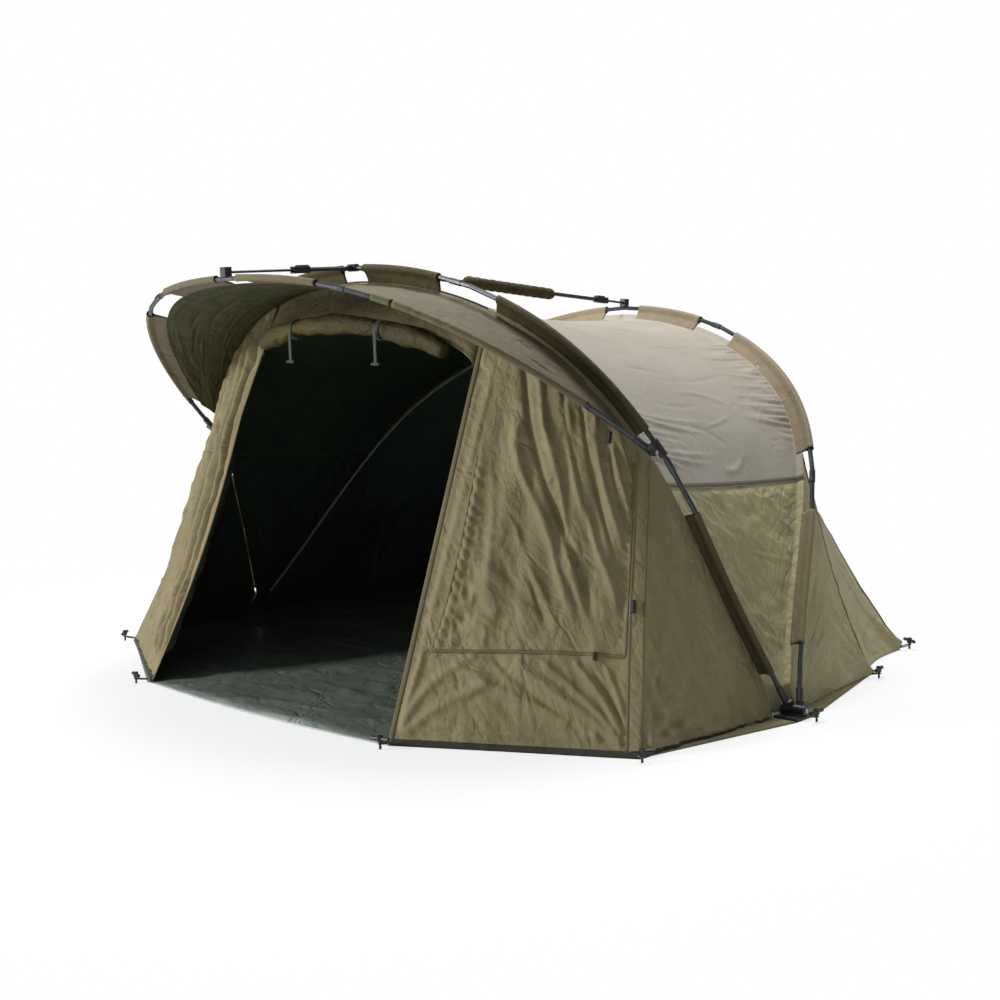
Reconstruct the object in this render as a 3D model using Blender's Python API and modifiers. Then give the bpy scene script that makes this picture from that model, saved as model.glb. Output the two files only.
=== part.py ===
# Two-man bivvy tent: two folding ribs on hub blocks, a third rib that carries the peak,
# telescopic bars that brace the ribs, a cloth shell sewn to the ribs and a groundsheet.
# Metres, +Z up. The front faces -Y. The origin is on the ground under the hub line's middle.
import math

import bmesh
import bpy
import numpy as np
from mathutils import Matrix, Vector

# Overall layout
hub_half_width = 1.500
pin_height = 0.030
front_lean = math.radians(20.2)
rear_lean = math.radians(-36.0)
peak_lean = math.radians(51.7)
fit_gap = 0.0003
cutter_overrun = 0.002

# Ribs: half width comes from what carries each rib, and each outline is shared out along it
pole_radius = 0.0085
pole_sides_step = 2
pole_sides = 2 * (pole_sides_step + 2)
rib_stations = 13
direction_share = 0.2
station_margin_share = 0.02
front_rib_height = 1.600
rear_rib_height = 1.649
peak_rib_height = 0.965
front_outline_shares = ((1, 0), (0.902, 0.323), (0.862, 0.477), (0.6447, 0.8006), (0, 1))
rear_outline_shares = ((1, 0), (0.943, 0.151), (0.712, 0.707), (0.105, 0.994), (0, 1))
peak_outline_shares = ((1, 0), (0.910, 0.284), (0.500, 0.876), (0, 1))
peak_hinge_share = 0.400
front_joint_shares = (0.362, 0.790)
rear_joint_shares = (0.362, 0.778)
peak_joint_shares = (0.130, 0.694)
ferrule_radius = 0.0108
ferrule_length = 0.050
spigot_radius = 0.0055
spigot_length = 0.038

# Feet, hub blocks and their pins
round_sides = 20
plain_sides = 12
knuckle_radius = 0.0150
knuckle_width = 0.0384
neck_sink_share = 0.30
neck_width_share = 0.80
neck_depth_share = 1.20
bore_run_share = 1.50
socket_radius = 0.0120
socket_start = 0.0240
socket_length = 0.078
socket_depth = 0.048
pin_radius = 0.0040
pin_head_radius = 0.0080
pin_head_length = 0.0030
hub_base_size = (0.092, 0.105)
hub_base_height = 0.0080
cheek_width = 0.0060
cheek_radius = 0.0170

# Y-blocks on the front rib that carry the peak rib
peak_hinge_reach = 0.030
y_collar_radius = 0.0150
y_collar_length = 0.060
y_lug_width = 0.0080
y_lug_radius = 0.0125
fork_width = 0.0240
fork_height = 0.0220
fork_reach = 0.034
fork_sink_share = 0.80
lug_web_share = 1.90
slot_sweep_share = 1.90
peak_socket_length = 0.050
peak_socket_depth = 0.028

# Bracing bars on the centre line
bracket_length = 0.046
bracket_radius = 0.0135
bar_pivot_reach = 0.026
bar_ear_width = 0.0050
bar_ear_radius = 0.0080
ear_web_share = 1.80
bar_eye_width = 0.0090
bar_eye_radius = 0.0080
bar_neck_shares = (0.50, 2.20)
bar_pin_radius = 0.0030
bar_tube_radius = 0.0078
bar_bore_radius = 0.0056
bar_rod_radius = 0.0046
bar_sides = 10
bar_lift = 0.0220
rod_insert = 0.020
front_bar_lock_share = 0.430
rear_bar_lock_share = 0.905
front_bar_bore = 0.165
rear_bar_bore = 0.290
lock_length = 0.072
lock_width = 0.026
lock_height = 0.034
lock_set_share = 0.18
lock_body_share = 0.72
lock_cap_shares = (0.80, 0.40, 0.62)
lock_cap_set_shares = (0.12, 0.30)
lock_edge_share = 1 / 16
hook_length = 0.028
hook_width = 0.028
hook_mouth = 0.0060
hook_height = 0.0330
cover_shares = (0.360, 0.690)
cover_radius = 0.0240
cover_quilts = 12
cover_sides_step = 3
cover_end_share = 0.80
cover_quilt_share = 0.06

# Cloth
cloth_thickness = 0.0020
sleeve_height = 0.060
sleeve_sides = 5
sleeve_wall = 0.0020
sleeve_web = 0.0030
sleeve_sink_share = 0.25
seam_gap = 0.0060
seam_clear_share = 1.50
edge_margin_share = 0.012
roof_rows = 4
roof_sag = 0.055
hood_rows = 4
hood_sag = 0.030
rear_rows = 5
rear_slack = 0.035
panel_rows = 6
front_slack = 0.012
front_sleeve_shares = ((0.100, 0.300), (0.414, 0.710), (0.818, 0.965))
rear_sleeve_shares = ((0.100, 0.310), (0.420, 0.710), (0.825, 0.968))
peak_sleeve_shares = ((0.210, 0.620), (0.750, 0.965))
roof_start_share = 0.040
hood_start_shares = (0.150, 0.425)
wall_start_share = 0.040

# Ground plan, right-hand side: the corners that are pegged down
door_corner = (0.693, 1.074)
front_corner = (hub_half_width - 0.098, 0.683)
side_corner = (hub_half_width - 0.101, 0.633)
rear_corner = (hub_half_width - 0.234, 1.098)
rear_corner_shares = (0, 0.20, 0.36, 0.64, 0.80, 1)
hub_corner_inset = 0.045
hub_seam_reach = 0.018
sheet_thickness = 0.0030
sheet_bulge = 0.040
bulge_points = 9

# Doorway, folds, rolled door and trim
door_top_right = 0.622
door_top_left = 0.490
door_foot_left = 0.660
door_corner_share = 0.135
panel_columns = 36
panel_side_share = 0.30
panel_lean = (0.45, -0.80, 0.40)
header_columns = 14
header_rows = 2
header_arch = 0.165
header_gap = 0.0043
fold_depth = 0.016
fold_count = 6
fold_margin_share = 0.10
fold_fall_share = 1.15
roll_radius = 0.034
roll_clear = 0.0026
roll_drop_share = 0.20
roll_stations = 18
roll_sides_step = 4
roll_end_share = 0.72
roll_taper_share = 0.08
tie_width = 0.024
tie_wall = 0.0016
tie_tail = 0.085
tie_tail_share = 0.60
tie_shares = (0.30, 0.74)
tie_toggle_radius = 0.0054
toggle_radius = 0.0090
toggle_length = 0.040
toggle_points = {"toggle_lower": (1.273, -0.537, 0.439), "toggle_upper": (1.041, -0.418, 0.941)}
slider_size = (0.012, 0.007, 0.026)
slider_drop_share = 0.15
slider_shift_share = 0.20
window_slider_point = (1.200, -0.654, 0.284)
trim_margin_share = 0.20
search_steps = 20

# Pegs: a tee handle over a tab of webbing, one at each corner
peg_reach = 0.040
peg_radius = 0.0040
peg_handle_radius = 0.0068
peg_handle_length = 0.066
peg_boss_radius = 0.0095
peg_boss_height = 0.020
peg_handle_height = 0.034
tab_width = 0.026
tab_overhang = 0.016
tab_thickness = 0.0024
tab_inset = 0.060

collection = bpy.data.collections.new("bivvy_tent")
cutters = bpy.data.collections.new("cutters")
palette = {
    "roof_cloth": ((0.42, 0.40, 0.33), 0.80, 0.0),
    "wall_cloth": ((0.20, 0.18, 0.10), 0.82, 0.0),
    "hood_cloth": ((0.17, 0.17, 0.09), 0.82, 0.0),
    "floor_cloth": ((0.03, 0.035, 0.03), 0.35, 0.0),
    "webbing": ((0.05, 0.06, 0.03), 0.85, 0.0),
    "pole_metal": ((0.06, 0.06, 0.065), 0.38, 0.85),
    "black_plastic": ((0.02, 0.02, 0.02), 0.50, 0.0),
    "steel": ((0.45, 0.45, 0.45), 0.35, 1.0),
}
materials = {}


def clear_scene():
    for item in list(bpy.data.objects):
        bpy.data.objects.remove(item, do_unlink=True)
    bpy.context.scene.collection.children.link(collection)
    bpy.context.scene.collection.children.link(cutters)


def make_materials():
    for name, (colour, roughness, metallic) in palette.items():
        material = bpy.data.materials.new(name)
        material.use_nodes = True
        shader = material.node_tree.nodes["Principled BSDF"]
        shader.inputs["Base Color"].default_value = (*colour, 1)
        shader.inputs["Roughness"].default_value = roughness
        shader.inputs["Metallic"].default_value = metallic
        materials[name] = material


def place_object(name, mesh, material):
    item = bpy.data.objects.new(name, mesh)
    collection.objects.link(item)
    if not mesh.materials:
        mesh.materials.append(materials[material])
    return item


def mesh_from(builder, name):
    """Fills a new mesh with whatever the builder adds to an empty bmesh."""
    work = bmesh.new()
    builder(work)
    bmesh.ops.recalc_face_normals(work, faces=work.faces)
    mesh = bpy.data.meshes.new(name)
    work.to_mesh(mesh)
    work.free()
    return mesh


def hide_tool(tool):
    for parent in list(tool.users_collection):
        parent.objects.unlink(tool)
    cutters.objects.link(tool)
    tool.hide_render = True
    tool.display_type = "WIRE"


def combine(item, tool, operation):
    modifier = item.modifiers.new(operation.lower(), "BOOLEAN")
    modifier.operation = operation
    modifier.solver = "EXACT"
    modifier.object = tool
    hide_tool(tool)


def cut(item, tool):
    combine(item, tool, "DIFFERENCE")


def fuse(item, tool):
    combine(item, tool, "UNION")


def tool_object(name, mesh):
    tool = bpy.data.objects.new(name, mesh)
    cutters.objects.link(tool)
    return tool


def bore_of(radius, sides):
    """Radius of a bore with this many sides whose flats clear a shaft of this radius."""
    return (radius + fit_gap) / math.cos(math.pi / sides)


def basis(along, side):
    """Rotation whose Z is along and whose X leans to side."""
    z = Vector(along).normalized()
    x = Vector(side) - Vector(side).dot(z) * z
    x.normalize()
    return Matrix((x, z.cross(x), z)).transposed().to_4x4()


def add_cylinder(work, radius, start, end, sides=12, radius_end=None):
    start, end = Vector(start), Vector(end)
    matrix = Matrix.Translation((start + end) / 2) @ basis(end - start, guide_for(end - start))
    bmesh.ops.create_cone(work, cap_ends=True, segments=sides, radius1=radius,
                          radius2=radius if radius_end is None else radius_end,
                          depth=(end - start).length, matrix=matrix)


def add_box(work, size, matrix):
    bmesh.ops.create_cube(work, size=1, matrix=matrix @ Matrix.Diagonal((*size, 1)))


def guide_for(direction):
    across = Vector((1, 0, 0))
    return Vector((0, 1, 0)) if abs(Vector(direction).normalized().dot(across)) > 0.9 else across


def cylinder_tool(name, radius, start, end, sides=12):
    return tool_object(name, mesh_from(lambda w: add_cylinder(w, radius, start, end, sides), name))


def flattened(direction):
    """The same heading turned square to the hinge axes, which lie along X."""
    return Vector((0, direction.y, direction.z)).normalized()


def box_tool(name, size, matrix):
    return tool_object(name, mesh_from(lambda w: add_box(w, size, matrix), name))


def natural_spline(knots, count):
    """Points at even steps of chord length on a natural cubic spline through the knots."""
    knots = np.array(knots, float)
    steps = np.sqrt((np.diff(knots, axis=0) ** 2).sum(axis=1))
    at = np.concatenate([[0.0], np.cumsum(steps)])
    size = len(knots)
    system = np.zeros((size, size))
    right = np.zeros((size, 2))
    system[0, 0] = system[-1, -1] = 1.0
    for i in range(1, size - 1):
        system[i, i - 1 : i + 2] = steps[i - 1], 2 * (steps[i - 1] + steps[i]), steps[i]
        change = (knots[i + 1] - knots[i]) / steps[i] - (knots[i] - knots[i - 1]) / steps[i - 1]
        right[i] = 6 * change
    bend = np.linalg.solve(system, right)
    points = []
    for where in np.linspace(0.0, at[-1], count):
        i = min(int(np.searchsorted(at, where, side="right")) - 1, size - 2)
        step = steps[i]
        a = (at[i + 1] - where) / step
        b = 1.0 - a
        curve = (a**3 - a) * bend[i] + (b**3 - b) * bend[i + 1]
        points.append(a * knots[i] + b * knots[i + 1] + curve * step**2 / 6)
    return np.array(points)


class Rib:
    """One arched pole in a plane that leans about a line along X.

    Shares run from 0 at the right foot to 1 at the apex and 2 at the left foot."""

    def __init__(self, half_width, height, outline_shares, base, lean):
        half = [(half_width * a, height * b) for a, b in outline_shares]
        full = half + [(-x, s) for x, s in half[-2::-1]]
        flat = natural_spline(full, 2 * rib_stations + 1)
        self.rise = Vector((0, -math.sin(lean), math.cos(lean)))
        self.ahead = Vector((0, -math.cos(lean), -math.sin(lean)))
        self.base = Vector(base)
        self.points = [self.base + Vector((x, 0, 0)) + self.rise * s for x, s in flat]
        lengths = [(b - a).length for a, b in zip(self.points, self.points[1:])]
        half_length = sum(lengths[:rib_stations])
        self.at = [0.0]
        for step in lengths:
            self.at.append(self.at[-1] + step / half_length)
        self.half_length = half_length

    def point(self, share):
        share = min(max(share, 0.0), 2.0)
        i = min(max(int(np.searchsorted(self.at, share, side="right")) - 1, 0), len(self.at) - 2)
        blend = (share - self.at[i]) / (self.at[i + 1] - self.at[i])
        return self.points[i].lerp(self.points[i + 1], blend)

    def direction(self, share):
        reach = direction_share / rib_stations
        return (self.point(share + reach) - self.point(share - reach)).normalized()

    def inward(self, share):
        return self.ahead.cross(self.direction(share)).normalized()

    def inset(self, share, depth, ahead=0.0):
        return self.point(share) + self.inward(share) * depth + self.ahead * ahead

    def between(self, start, end):
        """The stations from one share to another, with both ends."""
        margin = station_margin_share / rib_stations
        inner = [s for s in self.at if start + margin < s < end - margin]
        return [start] + inner + [end]

    def share_of(self, length):
        return length / self.half_length


def make_ribs():
    knuckle_offset = knuckle_width / 2 + fit_gap * 2
    base = (0, 0, pin_height)
    front = Rib(hub_half_width - knuckle_offset, front_rib_height, front_outline_shares, base,
                front_lean)
    rear = Rib(hub_half_width + knuckle_offset, rear_rib_height, rear_outline_shares, base,
               rear_lean)
    hinge = front.point(peak_hinge_share) + front.ahead * peak_hinge_reach
    peak = Rib(hinge.x, peak_rib_height, peak_outline_shares, (0, hinge.y, hinge.z), peak_lean)
    return front, rear, peak, hinge


def swept(name, points, radii, step):
    """A closed round tube along the points, its radius given at each."""
    curve = bpy.data.curves.new(name, "CURVE")
    curve.dimensions = "3D"
    curve.bevel_mode = "ROUND"
    curve.bevel_depth = 1.0
    curve.bevel_resolution = round(step)
    curve.use_fill_caps = True
    spline = curve.splines.new("POLY")
    spline.points.add(len(points) - 1)
    for knot, point, radius in zip(spline.points, points, radii):
        knot.co = (*point, 1)
        knot.radius = radius
    item = bpy.data.objects.new(name, curve)
    collection.objects.link(item)
    bpy.context.view_layer.update()
    mesh = bpy.data.meshes.new_from_object(item.evaluated_get(bpy.context.evaluated_depsgraph_get()))
    bpy.data.objects.remove(item)
    bpy.data.curves.remove(curve)
    work = bmesh.new()
    work.from_mesh(mesh)
    bmesh.ops.remove_doubles(work, verts=work.verts, dist=fit_gap / 10)
    bmesh.ops.recalc_face_normals(work, faces=work.faces)
    work.to_mesh(mesh)
    work.free()
    mesh.name = name
    return mesh


def finish_round(item, angle=35):
    item.data.shade_smooth()
    item.data.set_sharp_from_angle(angle=math.radians(angle))


def pole_bore(name, rib, shares, shaft_radius=pole_radius):
    """A tool that opens a clear bore along the rib for a shaft of this radius."""
    bore = bore_of(shaft_radius, pole_sides)
    return tool_object(name, swept(name, [rib.point(s) for s in shares], [bore] * len(shares),
                                   pole_sides_step))


def make_poles(rib, name, joint_shares, foot_gap):
    """A crown with a ferrule at each end, and two legs whose spigots stand in the ferrules."""
    joint, upper = joint_shares
    ferrule = rib.share_of(ferrule_length)
    step = rib.share_of(fit_gap)
    spigot = rib.share_of(spigot_length)
    collar = rib.share_of(ferrule_length / 2)
    marks = []
    for share in (joint + ferrule, upper - collar, upper + collar):
        marks += [share, 2 - share]
    marks = sorted(marks)
    inner = [s for s in rib.between(joint, 2 - joint)[1:-1] if min(abs(s - m) for m in marks) > step * 8]
    shares = [joint, 2 - joint] + inner
    shares += [m - step for m in marks] + [m + step for m in marks]
    shares = sorted(shares)

    def thick(share):
        mirrored = min(share, 2 - share)
        at_joint = mirrored < joint + ferrule
        at_collar = upper - collar < mirrored < upper + collar
        return ferrule_radius if at_joint or at_collar else pole_radius

    crown_mesh = swept(name + "_crown", [rib.point(s) for s in shares], [thick(s) for s in shares],
                       pole_sides_step)
    crown = place_object(name + "_crown", crown_mesh, "pole_metal")
    for side, mirror in (("right", False), ("left", True)):
        flip = (lambda s: 2 - s) if mirror else (lambda s: s)
        shoulder = joint - rib.share_of(fit_gap)
        bottom = rib.share_of(foot_gap)
        leg_shares = rib.between(bottom, shoulder)
        tip = joint + spigot
        points = [rib.point(flip(s)) for s in leg_shares]
        radii = [pole_radius] * len(points)
        points += [rib.point(flip(shoulder + step)), rib.point(flip(tip))]
        radii += [spigot_radius, spigot_radius]
        leg_name = name + "_leg_" + side
        leg = place_object(leg_name, swept(leg_name, points, radii, pole_sides_step), "pole_metal")
        finish_round(leg)
        overrun = rib.share_of(cutter_overrun)
        ends = [flip(joint - overrun), flip(tip + overrun)]
        cut(crown, pole_bore(leg_name + "_bore", rib, ends, spigot_radius))
    finish_round(crown)


def make_foot(rib, name, side):
    """A knuckle on the hub pin and a socket that holds the pole's end."""
    flip = 2.0 if side == "left" else 0.0
    hinge = rib.point(flip)
    inner = rib.point(abs(flip - rib.share_of(socket_length)))
    along = (inner - hinge).normalized()
    half = Vector((knuckle_width / 2, 0, 0))
    foot = place_object(name, mesh_from(
        lambda w: add_cylinder(w, knuckle_radius, hinge - half, hinge + half, round_sides), name),
        "black_plastic")
    upright = flattened(along)
    neck_length = socket_start + knuckle_radius * neck_sink_share
    neck_size = (knuckle_width * neck_width_share, knuckle_radius * neck_depth_share, neck_length)
    neck = Matrix.Translation(hinge + upright * neck_length / 2) @ basis(upright, (1, 0, 0))
    fuse(foot, box_tool(name + "_neck", neck_size, neck))
    fuse(foot, cylinder_tool(name + "_socket", socket_radius, hinge + along * socket_start,
                             hinge + along * socket_length))
    ends = (socket_length - socket_depth, socket_length + cutter_overrun * 4)
    cut(foot, pole_bore(name + "_bore", rib, [abs(flip - rib.share_of(end)) for end in ends]))
    long = half * bore_run_share
    cut(foot, cylinder_tool(name + "_pin_bore", bore_of(pin_radius, plain_sides), hinge - long,
                            hinge + long))
    finish_round(foot)


def make_hub(side, sign):
    """A base on the groundsheet's tab with two cheeks that hold the hub pin."""
    centre = Vector((sign * hub_half_width, 0, pin_height))
    floor = sheet_thickness + fit_gap
    name = "hub_block_" + side
    base_matrix = Matrix.Translation((centre.x, 0, floor + hub_base_height / 2))
    block = place_object(name, mesh_from(
        lambda w: add_box(w, (*hub_base_size, hub_base_height), base_matrix), name), "black_plastic")
    reach = knuckle_width + fit_gap * 4 + cheek_width / 2
    cheeks = []
    for way in (-1, 1):
        middle = centre + Vector((way * reach, 0, 0))
        half = Vector((cheek_width / 2, 0, 0))
        cheek = cylinder_tool(name + "_cheek", cheek_radius, middle - half, middle + half, round_sides)
        low = floor + hub_base_height / 2
        height = pin_height - low
        web = box_tool(name + "_web", (cheek_width, cheek_radius * 2, height),
                       Matrix.Translation((middle.x, 0, low + height / 2)))
        cheeks += [web, cheek]
    for tool in cheeks:
        fuse(block, tool)
    span = Vector((reach + cheek_width, 0, 0))
    cut(block, cylinder_tool(name + "_bore", bore_of(pin_radius, plain_sides), centre - span,
                             centre + span))
    finish_round(block)
    outer = reach + cheek_width / 2 + fit_gap
    half = Vector((outer, 0, 0))
    head = Vector((pin_head_length, 0, 0))
    pin = place_object("hub_pin_" + side, mesh_from(
        lambda w: add_cylinder(w, pin_radius, centre - half - head / 2, centre + half + head / 2),
        "hub_pin_" + side), "steel")
    for way in (-1, 1):
        start = centre + half * way
        fuse(pin, cylinder_tool("hub_pin_head", pin_head_radius, start, start + head * way))
    finish_round(pin)


def make_y_block(front, peak, hinge, side, sign):
    """A collar on the front rib with a lug for the peak rib's fork, and the pin between them."""
    share = peak_hinge_share if sign > 0 else 2 - peak_hinge_share
    at = front.point(share)
    pivot = Vector((hinge.x * sign, hinge.y, hinge.z))
    along = front.direction(share)
    half = along * y_collar_length / 2
    name = "y_block_" + side
    block = place_object(name, mesh_from(
        lambda w: add_cylinder(w, y_collar_radius, at - half, at + half), name), "black_plastic")
    lug_half = Vector((y_lug_width / 2, 0, 0))
    fuse(block, cylinder_tool(name + "_lug", y_lug_radius, pivot - lug_half, pivot + lug_half,
                              round_sides))
    web_matrix = Matrix.Translation((pivot + at) / 2) @ basis(front.ahead, (1, 0, 0))
    web_size = (y_lug_width, y_lug_radius * lug_web_share, peak_hinge_reach)
    fuse(block, box_tool(name + "_web", web_size, web_matrix))
    reach = front.share_of(y_collar_length)
    cut(block, pole_bore(name + "_bore", front, front.between(share - reach, share + reach)))
    span = Vector((fork_width, 0, 0))
    cut(block, cylinder_tool(name + "_pin_bore", bore_of(pin_radius, plain_sides), pivot - span,
                             pivot + span))
    finish_round(block)

    foot_name = "peak_rib_foot_" + side
    foot_share = 0.0 if sign > 0 else 2.0
    outer = peak.point(abs(foot_share - peak.share_of(peak_socket_length + fork_reach)))
    up = (outer - pivot).normalized()
    upright = flattened(up)
    fork_matrix = Matrix.Translation(pivot + upright * fork_reach / 2) @ basis(upright, (1, 0, 0))
    foot = place_object(foot_name, mesh_from(
        lambda w: add_box(w, (fork_width, fork_height, fork_reach), fork_matrix), foot_name),
        "black_plastic")
    ear_half = Vector((fork_width / 2, 0, 0))
    fuse(foot, cylinder_tool(foot_name + "_ear", fork_height / 2, pivot - ear_half, pivot + ear_half,
                             round_sides))
    socket_end = pivot + up * (fork_reach + peak_socket_length)
    fuse(foot, cylinder_tool(foot_name + "_socket", socket_radius,
                             pivot + up * fork_reach * fork_sink_share, socket_end))
    slot = Vector((y_lug_width / 2 + fit_gap, 0, 0))
    sweep = y_lug_radius * slot_sweep_share
    cut(foot, cylinder_tool(foot_name + "_slot", sweep, pivot - slot, pivot + slot, round_sides))
    socket_top = fork_reach + peak_socket_length
    ends = (socket_top - peak_socket_depth, socket_top + cutter_overrun * 4)
    cut(foot, pole_bore(foot_name + "_bore", peak, [abs(foot_share - peak.share_of(e)) for e in ends]))
    cut(foot, cylinder_tool(foot_name + "_pin_bore", bore_of(pin_radius, plain_sides), pivot - span,
                            pivot + span))
    finish_round(foot)

    pin_name = "y_pin_" + side
    reach_half = Vector((fork_width / 2 + fit_gap, 0, 0))
    head = Vector((pin_head_length, 0, 0))
    pin = place_object(pin_name, mesh_from(
        lambda w: add_cylinder(w, pin_radius, pivot - reach_half - head / 2, pivot + reach_half + head / 2),
        pin_name), "steel")
    for way in (-1, 1):
        begin = pivot + reach_half * way
        fuse(pin, cylinder_tool("y_pin_head", pin_head_radius, begin, begin + head * way))
    finish_round(pin)


def bar_frame(apex, target):
    """Where a bar starts, and its directions along and up, from one rib's apex to another's."""
    along = (target - apex).normalized()
    up = Vector((1, 0, 0)).cross(along)
    up = up if up.z > 0 else -up
    return apex + along * bar_pivot_reach, along, up


def make_bracket(front, front_target, rear_target):
    apex = front.point(1.0)
    half = Vector((bracket_length / 2, 0, 0))
    bracket = place_object("bar_bracket", mesh_from(
        lambda w: add_cylinder(w, bracket_radius, apex - half, apex + half), "bar_bracket"),
        "black_plastic")
    for target in (front_target, rear_target):
        pivot, along, up = bar_frame(apex, target)
        turn = basis(along, (1, 0, 0))
        for way in (-1, 1):
            across = bar_eye_width / 2 + fit_gap * 2 + bar_ear_width / 2
            middle = pivot + Vector((way * across, 0, 0))
            ear_half = Vector((bar_ear_width / 2, 0, 0))
            fuse(bracket, cylinder_tool("bar_bracket_ear", bar_ear_radius, middle - ear_half,
                                        middle + ear_half))
            web_matrix = Matrix.Translation(middle - along * bar_pivot_reach / 2) @ turn
            web_size = (bar_ear_width, bar_ear_radius * ear_web_share, bar_pivot_reach)
            fuse(bracket, box_tool("bar_bracket_web", web_size, web_matrix))
        span = Vector((bar_eye_width / 2 + bar_ear_width, 0, 0))
        fuse(bracket, cylinder_tool("bar_bracket_pin", bar_pin_radius, pivot - span, pivot + span))
    reach = front.share_of(bracket_length)
    cut(bracket, pole_bore("bar_bracket_bore", front, front.between(1 - reach, 1 + reach)))
    finish_round(bracket)


def make_bar(prefix, front, target, lock_share, bore_length):
    """A tube hinged at the bracket, a lock on its end, and a rod whose hook rests on a rib."""
    apex = front.point(1.0)
    pivot, along, up = bar_frame(apex, target)
    end = target + up * bar_lift
    run = end - pivot
    line = run.normalized()
    reach = run.length
    tube_end = reach * lock_share
    name = prefix + "_tube"
    eye_half = Vector((bar_eye_width / 2, 0, 0))
    tube = place_object(name, mesh_from(
        lambda w: add_cylinder(w, bar_eye_radius, pivot - eye_half, pivot + eye_half), name),
        "pole_metal")
    neck, step_out = (pivot + line * bar_eye_radius * share for share in bar_neck_shares)
    fuse(tube, cylinder_tool(name + "_neck", bar_eye_width / 2, neck, step_out, bar_sides))
    fuse(tube, cylinder_tool(name + "_run", bar_tube_radius, step_out - line * fit_gap,
                             pivot + line * tube_end, bar_sides))
    pin_half = eye_half * bore_run_share
    cut(tube, cylinder_tool(name + "_eye", bore_of(bar_pin_radius, plain_sides), pivot - pin_half,
                            pivot + pin_half))
    mouth = pivot + line * (tube_end + cutter_overrun)
    cut(tube, cylinder_tool(name + "_bore", bar_bore_radius, pivot + line * (tube_end - bore_length),
                            mouth, bar_sides))
    finish_round(tube)

    rod_start = pivot + line * (tube_end - rod_insert)
    rod_end = end - line * (hook_length / 2 + fit_gap)
    rod_name = prefix + "_rod"
    rod = place_object(rod_name, mesh_from(
        lambda w: add_cylinder(w, bar_rod_radius, rod_start, rod_end), rod_name), "pole_metal")
    finish_round(rod)

    lock_name = prefix + "_lock"
    lock_middle = pivot + line * (tube_end - lock_length * lock_set_share)
    turn = basis(line, (1, 0, 0))
    lock = place_object(lock_name, mesh_from(
        lambda w: add_box(w, (lock_width, lock_height * lock_body_share, lock_length),
                          Matrix.Translation(lock_middle) @ turn), lock_name), "black_plastic")
    back_share, rise_share = lock_cap_set_shares
    cap_middle = lock_middle - line * lock_length * back_share + up * lock_height * rise_share
    cap_size = [size * share for size, share in zip((lock_width, lock_height, lock_length),
                                                    lock_cap_shares)]
    fuse(lock, box_tool(lock_name + "_cap", cap_size, Matrix.Translation(cap_middle) @ turn))
    cut(lock, cylinder_tool(lock_name + "_bore", bore_of(bar_tube_radius, bar_sides),
                            lock_middle - line * lock_length, lock_middle + line * lock_length,
                            bar_sides))
    bevel = lock.modifiers.new("edges", "BEVEL")
    bevel.width = lock_width * lock_edge_share
    bevel.segments = 1
    bevel.limit_method = "ANGLE"
    bevel.angle_limit = math.radians(60)

    hook_name = prefix + "_hook"
    low = hook_mouth - bar_lift
    high = low + hook_height
    hook_middle = end + up * (low + high) / 2
    hook = place_object(hook_name, mesh_from(
        lambda w: add_box(w, (hook_width, hook_height, hook_length),
                          Matrix.Translation(hook_middle) @ turn), hook_name), "black_plastic")
    saddle = Vector((hook_width, 0, 0))
    cut(hook, cylinder_tool(hook_name + "_saddle", bore_of(pole_radius, pole_sides), target - saddle,
                            target + saddle))
    finish_round(hook)
    return pivot, line, reach


def make_cover(pivot, line, reach):
    """A quilted sleeve of cloth rolled round the rear bar's tube, with one bump to a quilt."""
    name = "rear_bar_cover"
    start, end = (reach * share for share in cover_shares)
    points = []
    radii = []
    for i in range(cover_quilts + 1):
        points.append(pivot + line * (start + (end - start) * i / cover_quilts))
        taper = cover_end_share if i in (0, cover_quilts) else 1.0
        radii.append(cover_radius * taper * (1 + cover_quilt_share * math.cos(i * math.pi)))
    cover = place_object(name, swept(name, points, radii, cover_sides_step), "wall_cloth")
    cut(cover, cylinder_tool(name + "_bore", bore_of(bar_tube_radius, bar_sides),
                             pivot + line * (start - cover_radius), pivot + line * (end + cover_radius),
                             bar_sides))
    finish_round(cover, 60)


def sleeve_section(rib, share, depth):
    """Corners of a sleeve's cross-section: a flat-sided ring round the pole on a thin web."""
    turn = math.pi / sleeve_sides
    bore = bore_of(pole_radius, sleeve_sides) + fit_gap
    ring = bore + sleeve_wall / math.cos(turn)
    flat = ring * math.cos(turn)
    half = sleeve_web / 2
    corners = [turn * (1 + 2 * i) - math.pi / 2 for i in range(sleeve_sides)]
    outer = [(half, -depth), (half, -flat)]
    outer += [(ring * math.cos(a), ring * math.sin(a)) for a in corners]
    outer += [(-half, -flat), (-half, -depth)]
    inner = [(bore * math.cos(a), bore * math.sin(a)) for a in corners]
    at, ahead, inward = rib.point(share), rib.ahead, rib.inward(share)
    return [at + ahead * a - inward * b for a, b in outer + inner]


def add_sleeve(work, rib, start, end, depth):
    """One length of sleeve as a loft of its cross-section along the rib."""
    rows = []
    for share in rib.between(start, end):
        rows.append([work.verts.new(p) for p in sleeve_section(rib, share, depth)])
    inside = sleeve_sides + 4
    last = inside + sleeve_sides - 1
    loops = (list(range(inside)), list(range(inside, last + 1)))
    for first, second in zip(rows, rows[1:]):
        for loop in loops:
            for a, b in zip(loop, loop[1:] + loop[:1]):
                work.faces.new((first[a], first[b], second[b], second[a]))
    caps = [(2 + i, 3 + i, inside + 1 + i, inside + i) for i in range(sleeve_sides - 1)]
    caps += [(inside - 3, inside - 2, 1, 2, inside, last), (inside - 2, inside - 1, 0, 1)]
    for row in (rows[0], rows[-1]):
        for cap in caps:
            work.faces.new([row[i] for i in cap])


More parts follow.
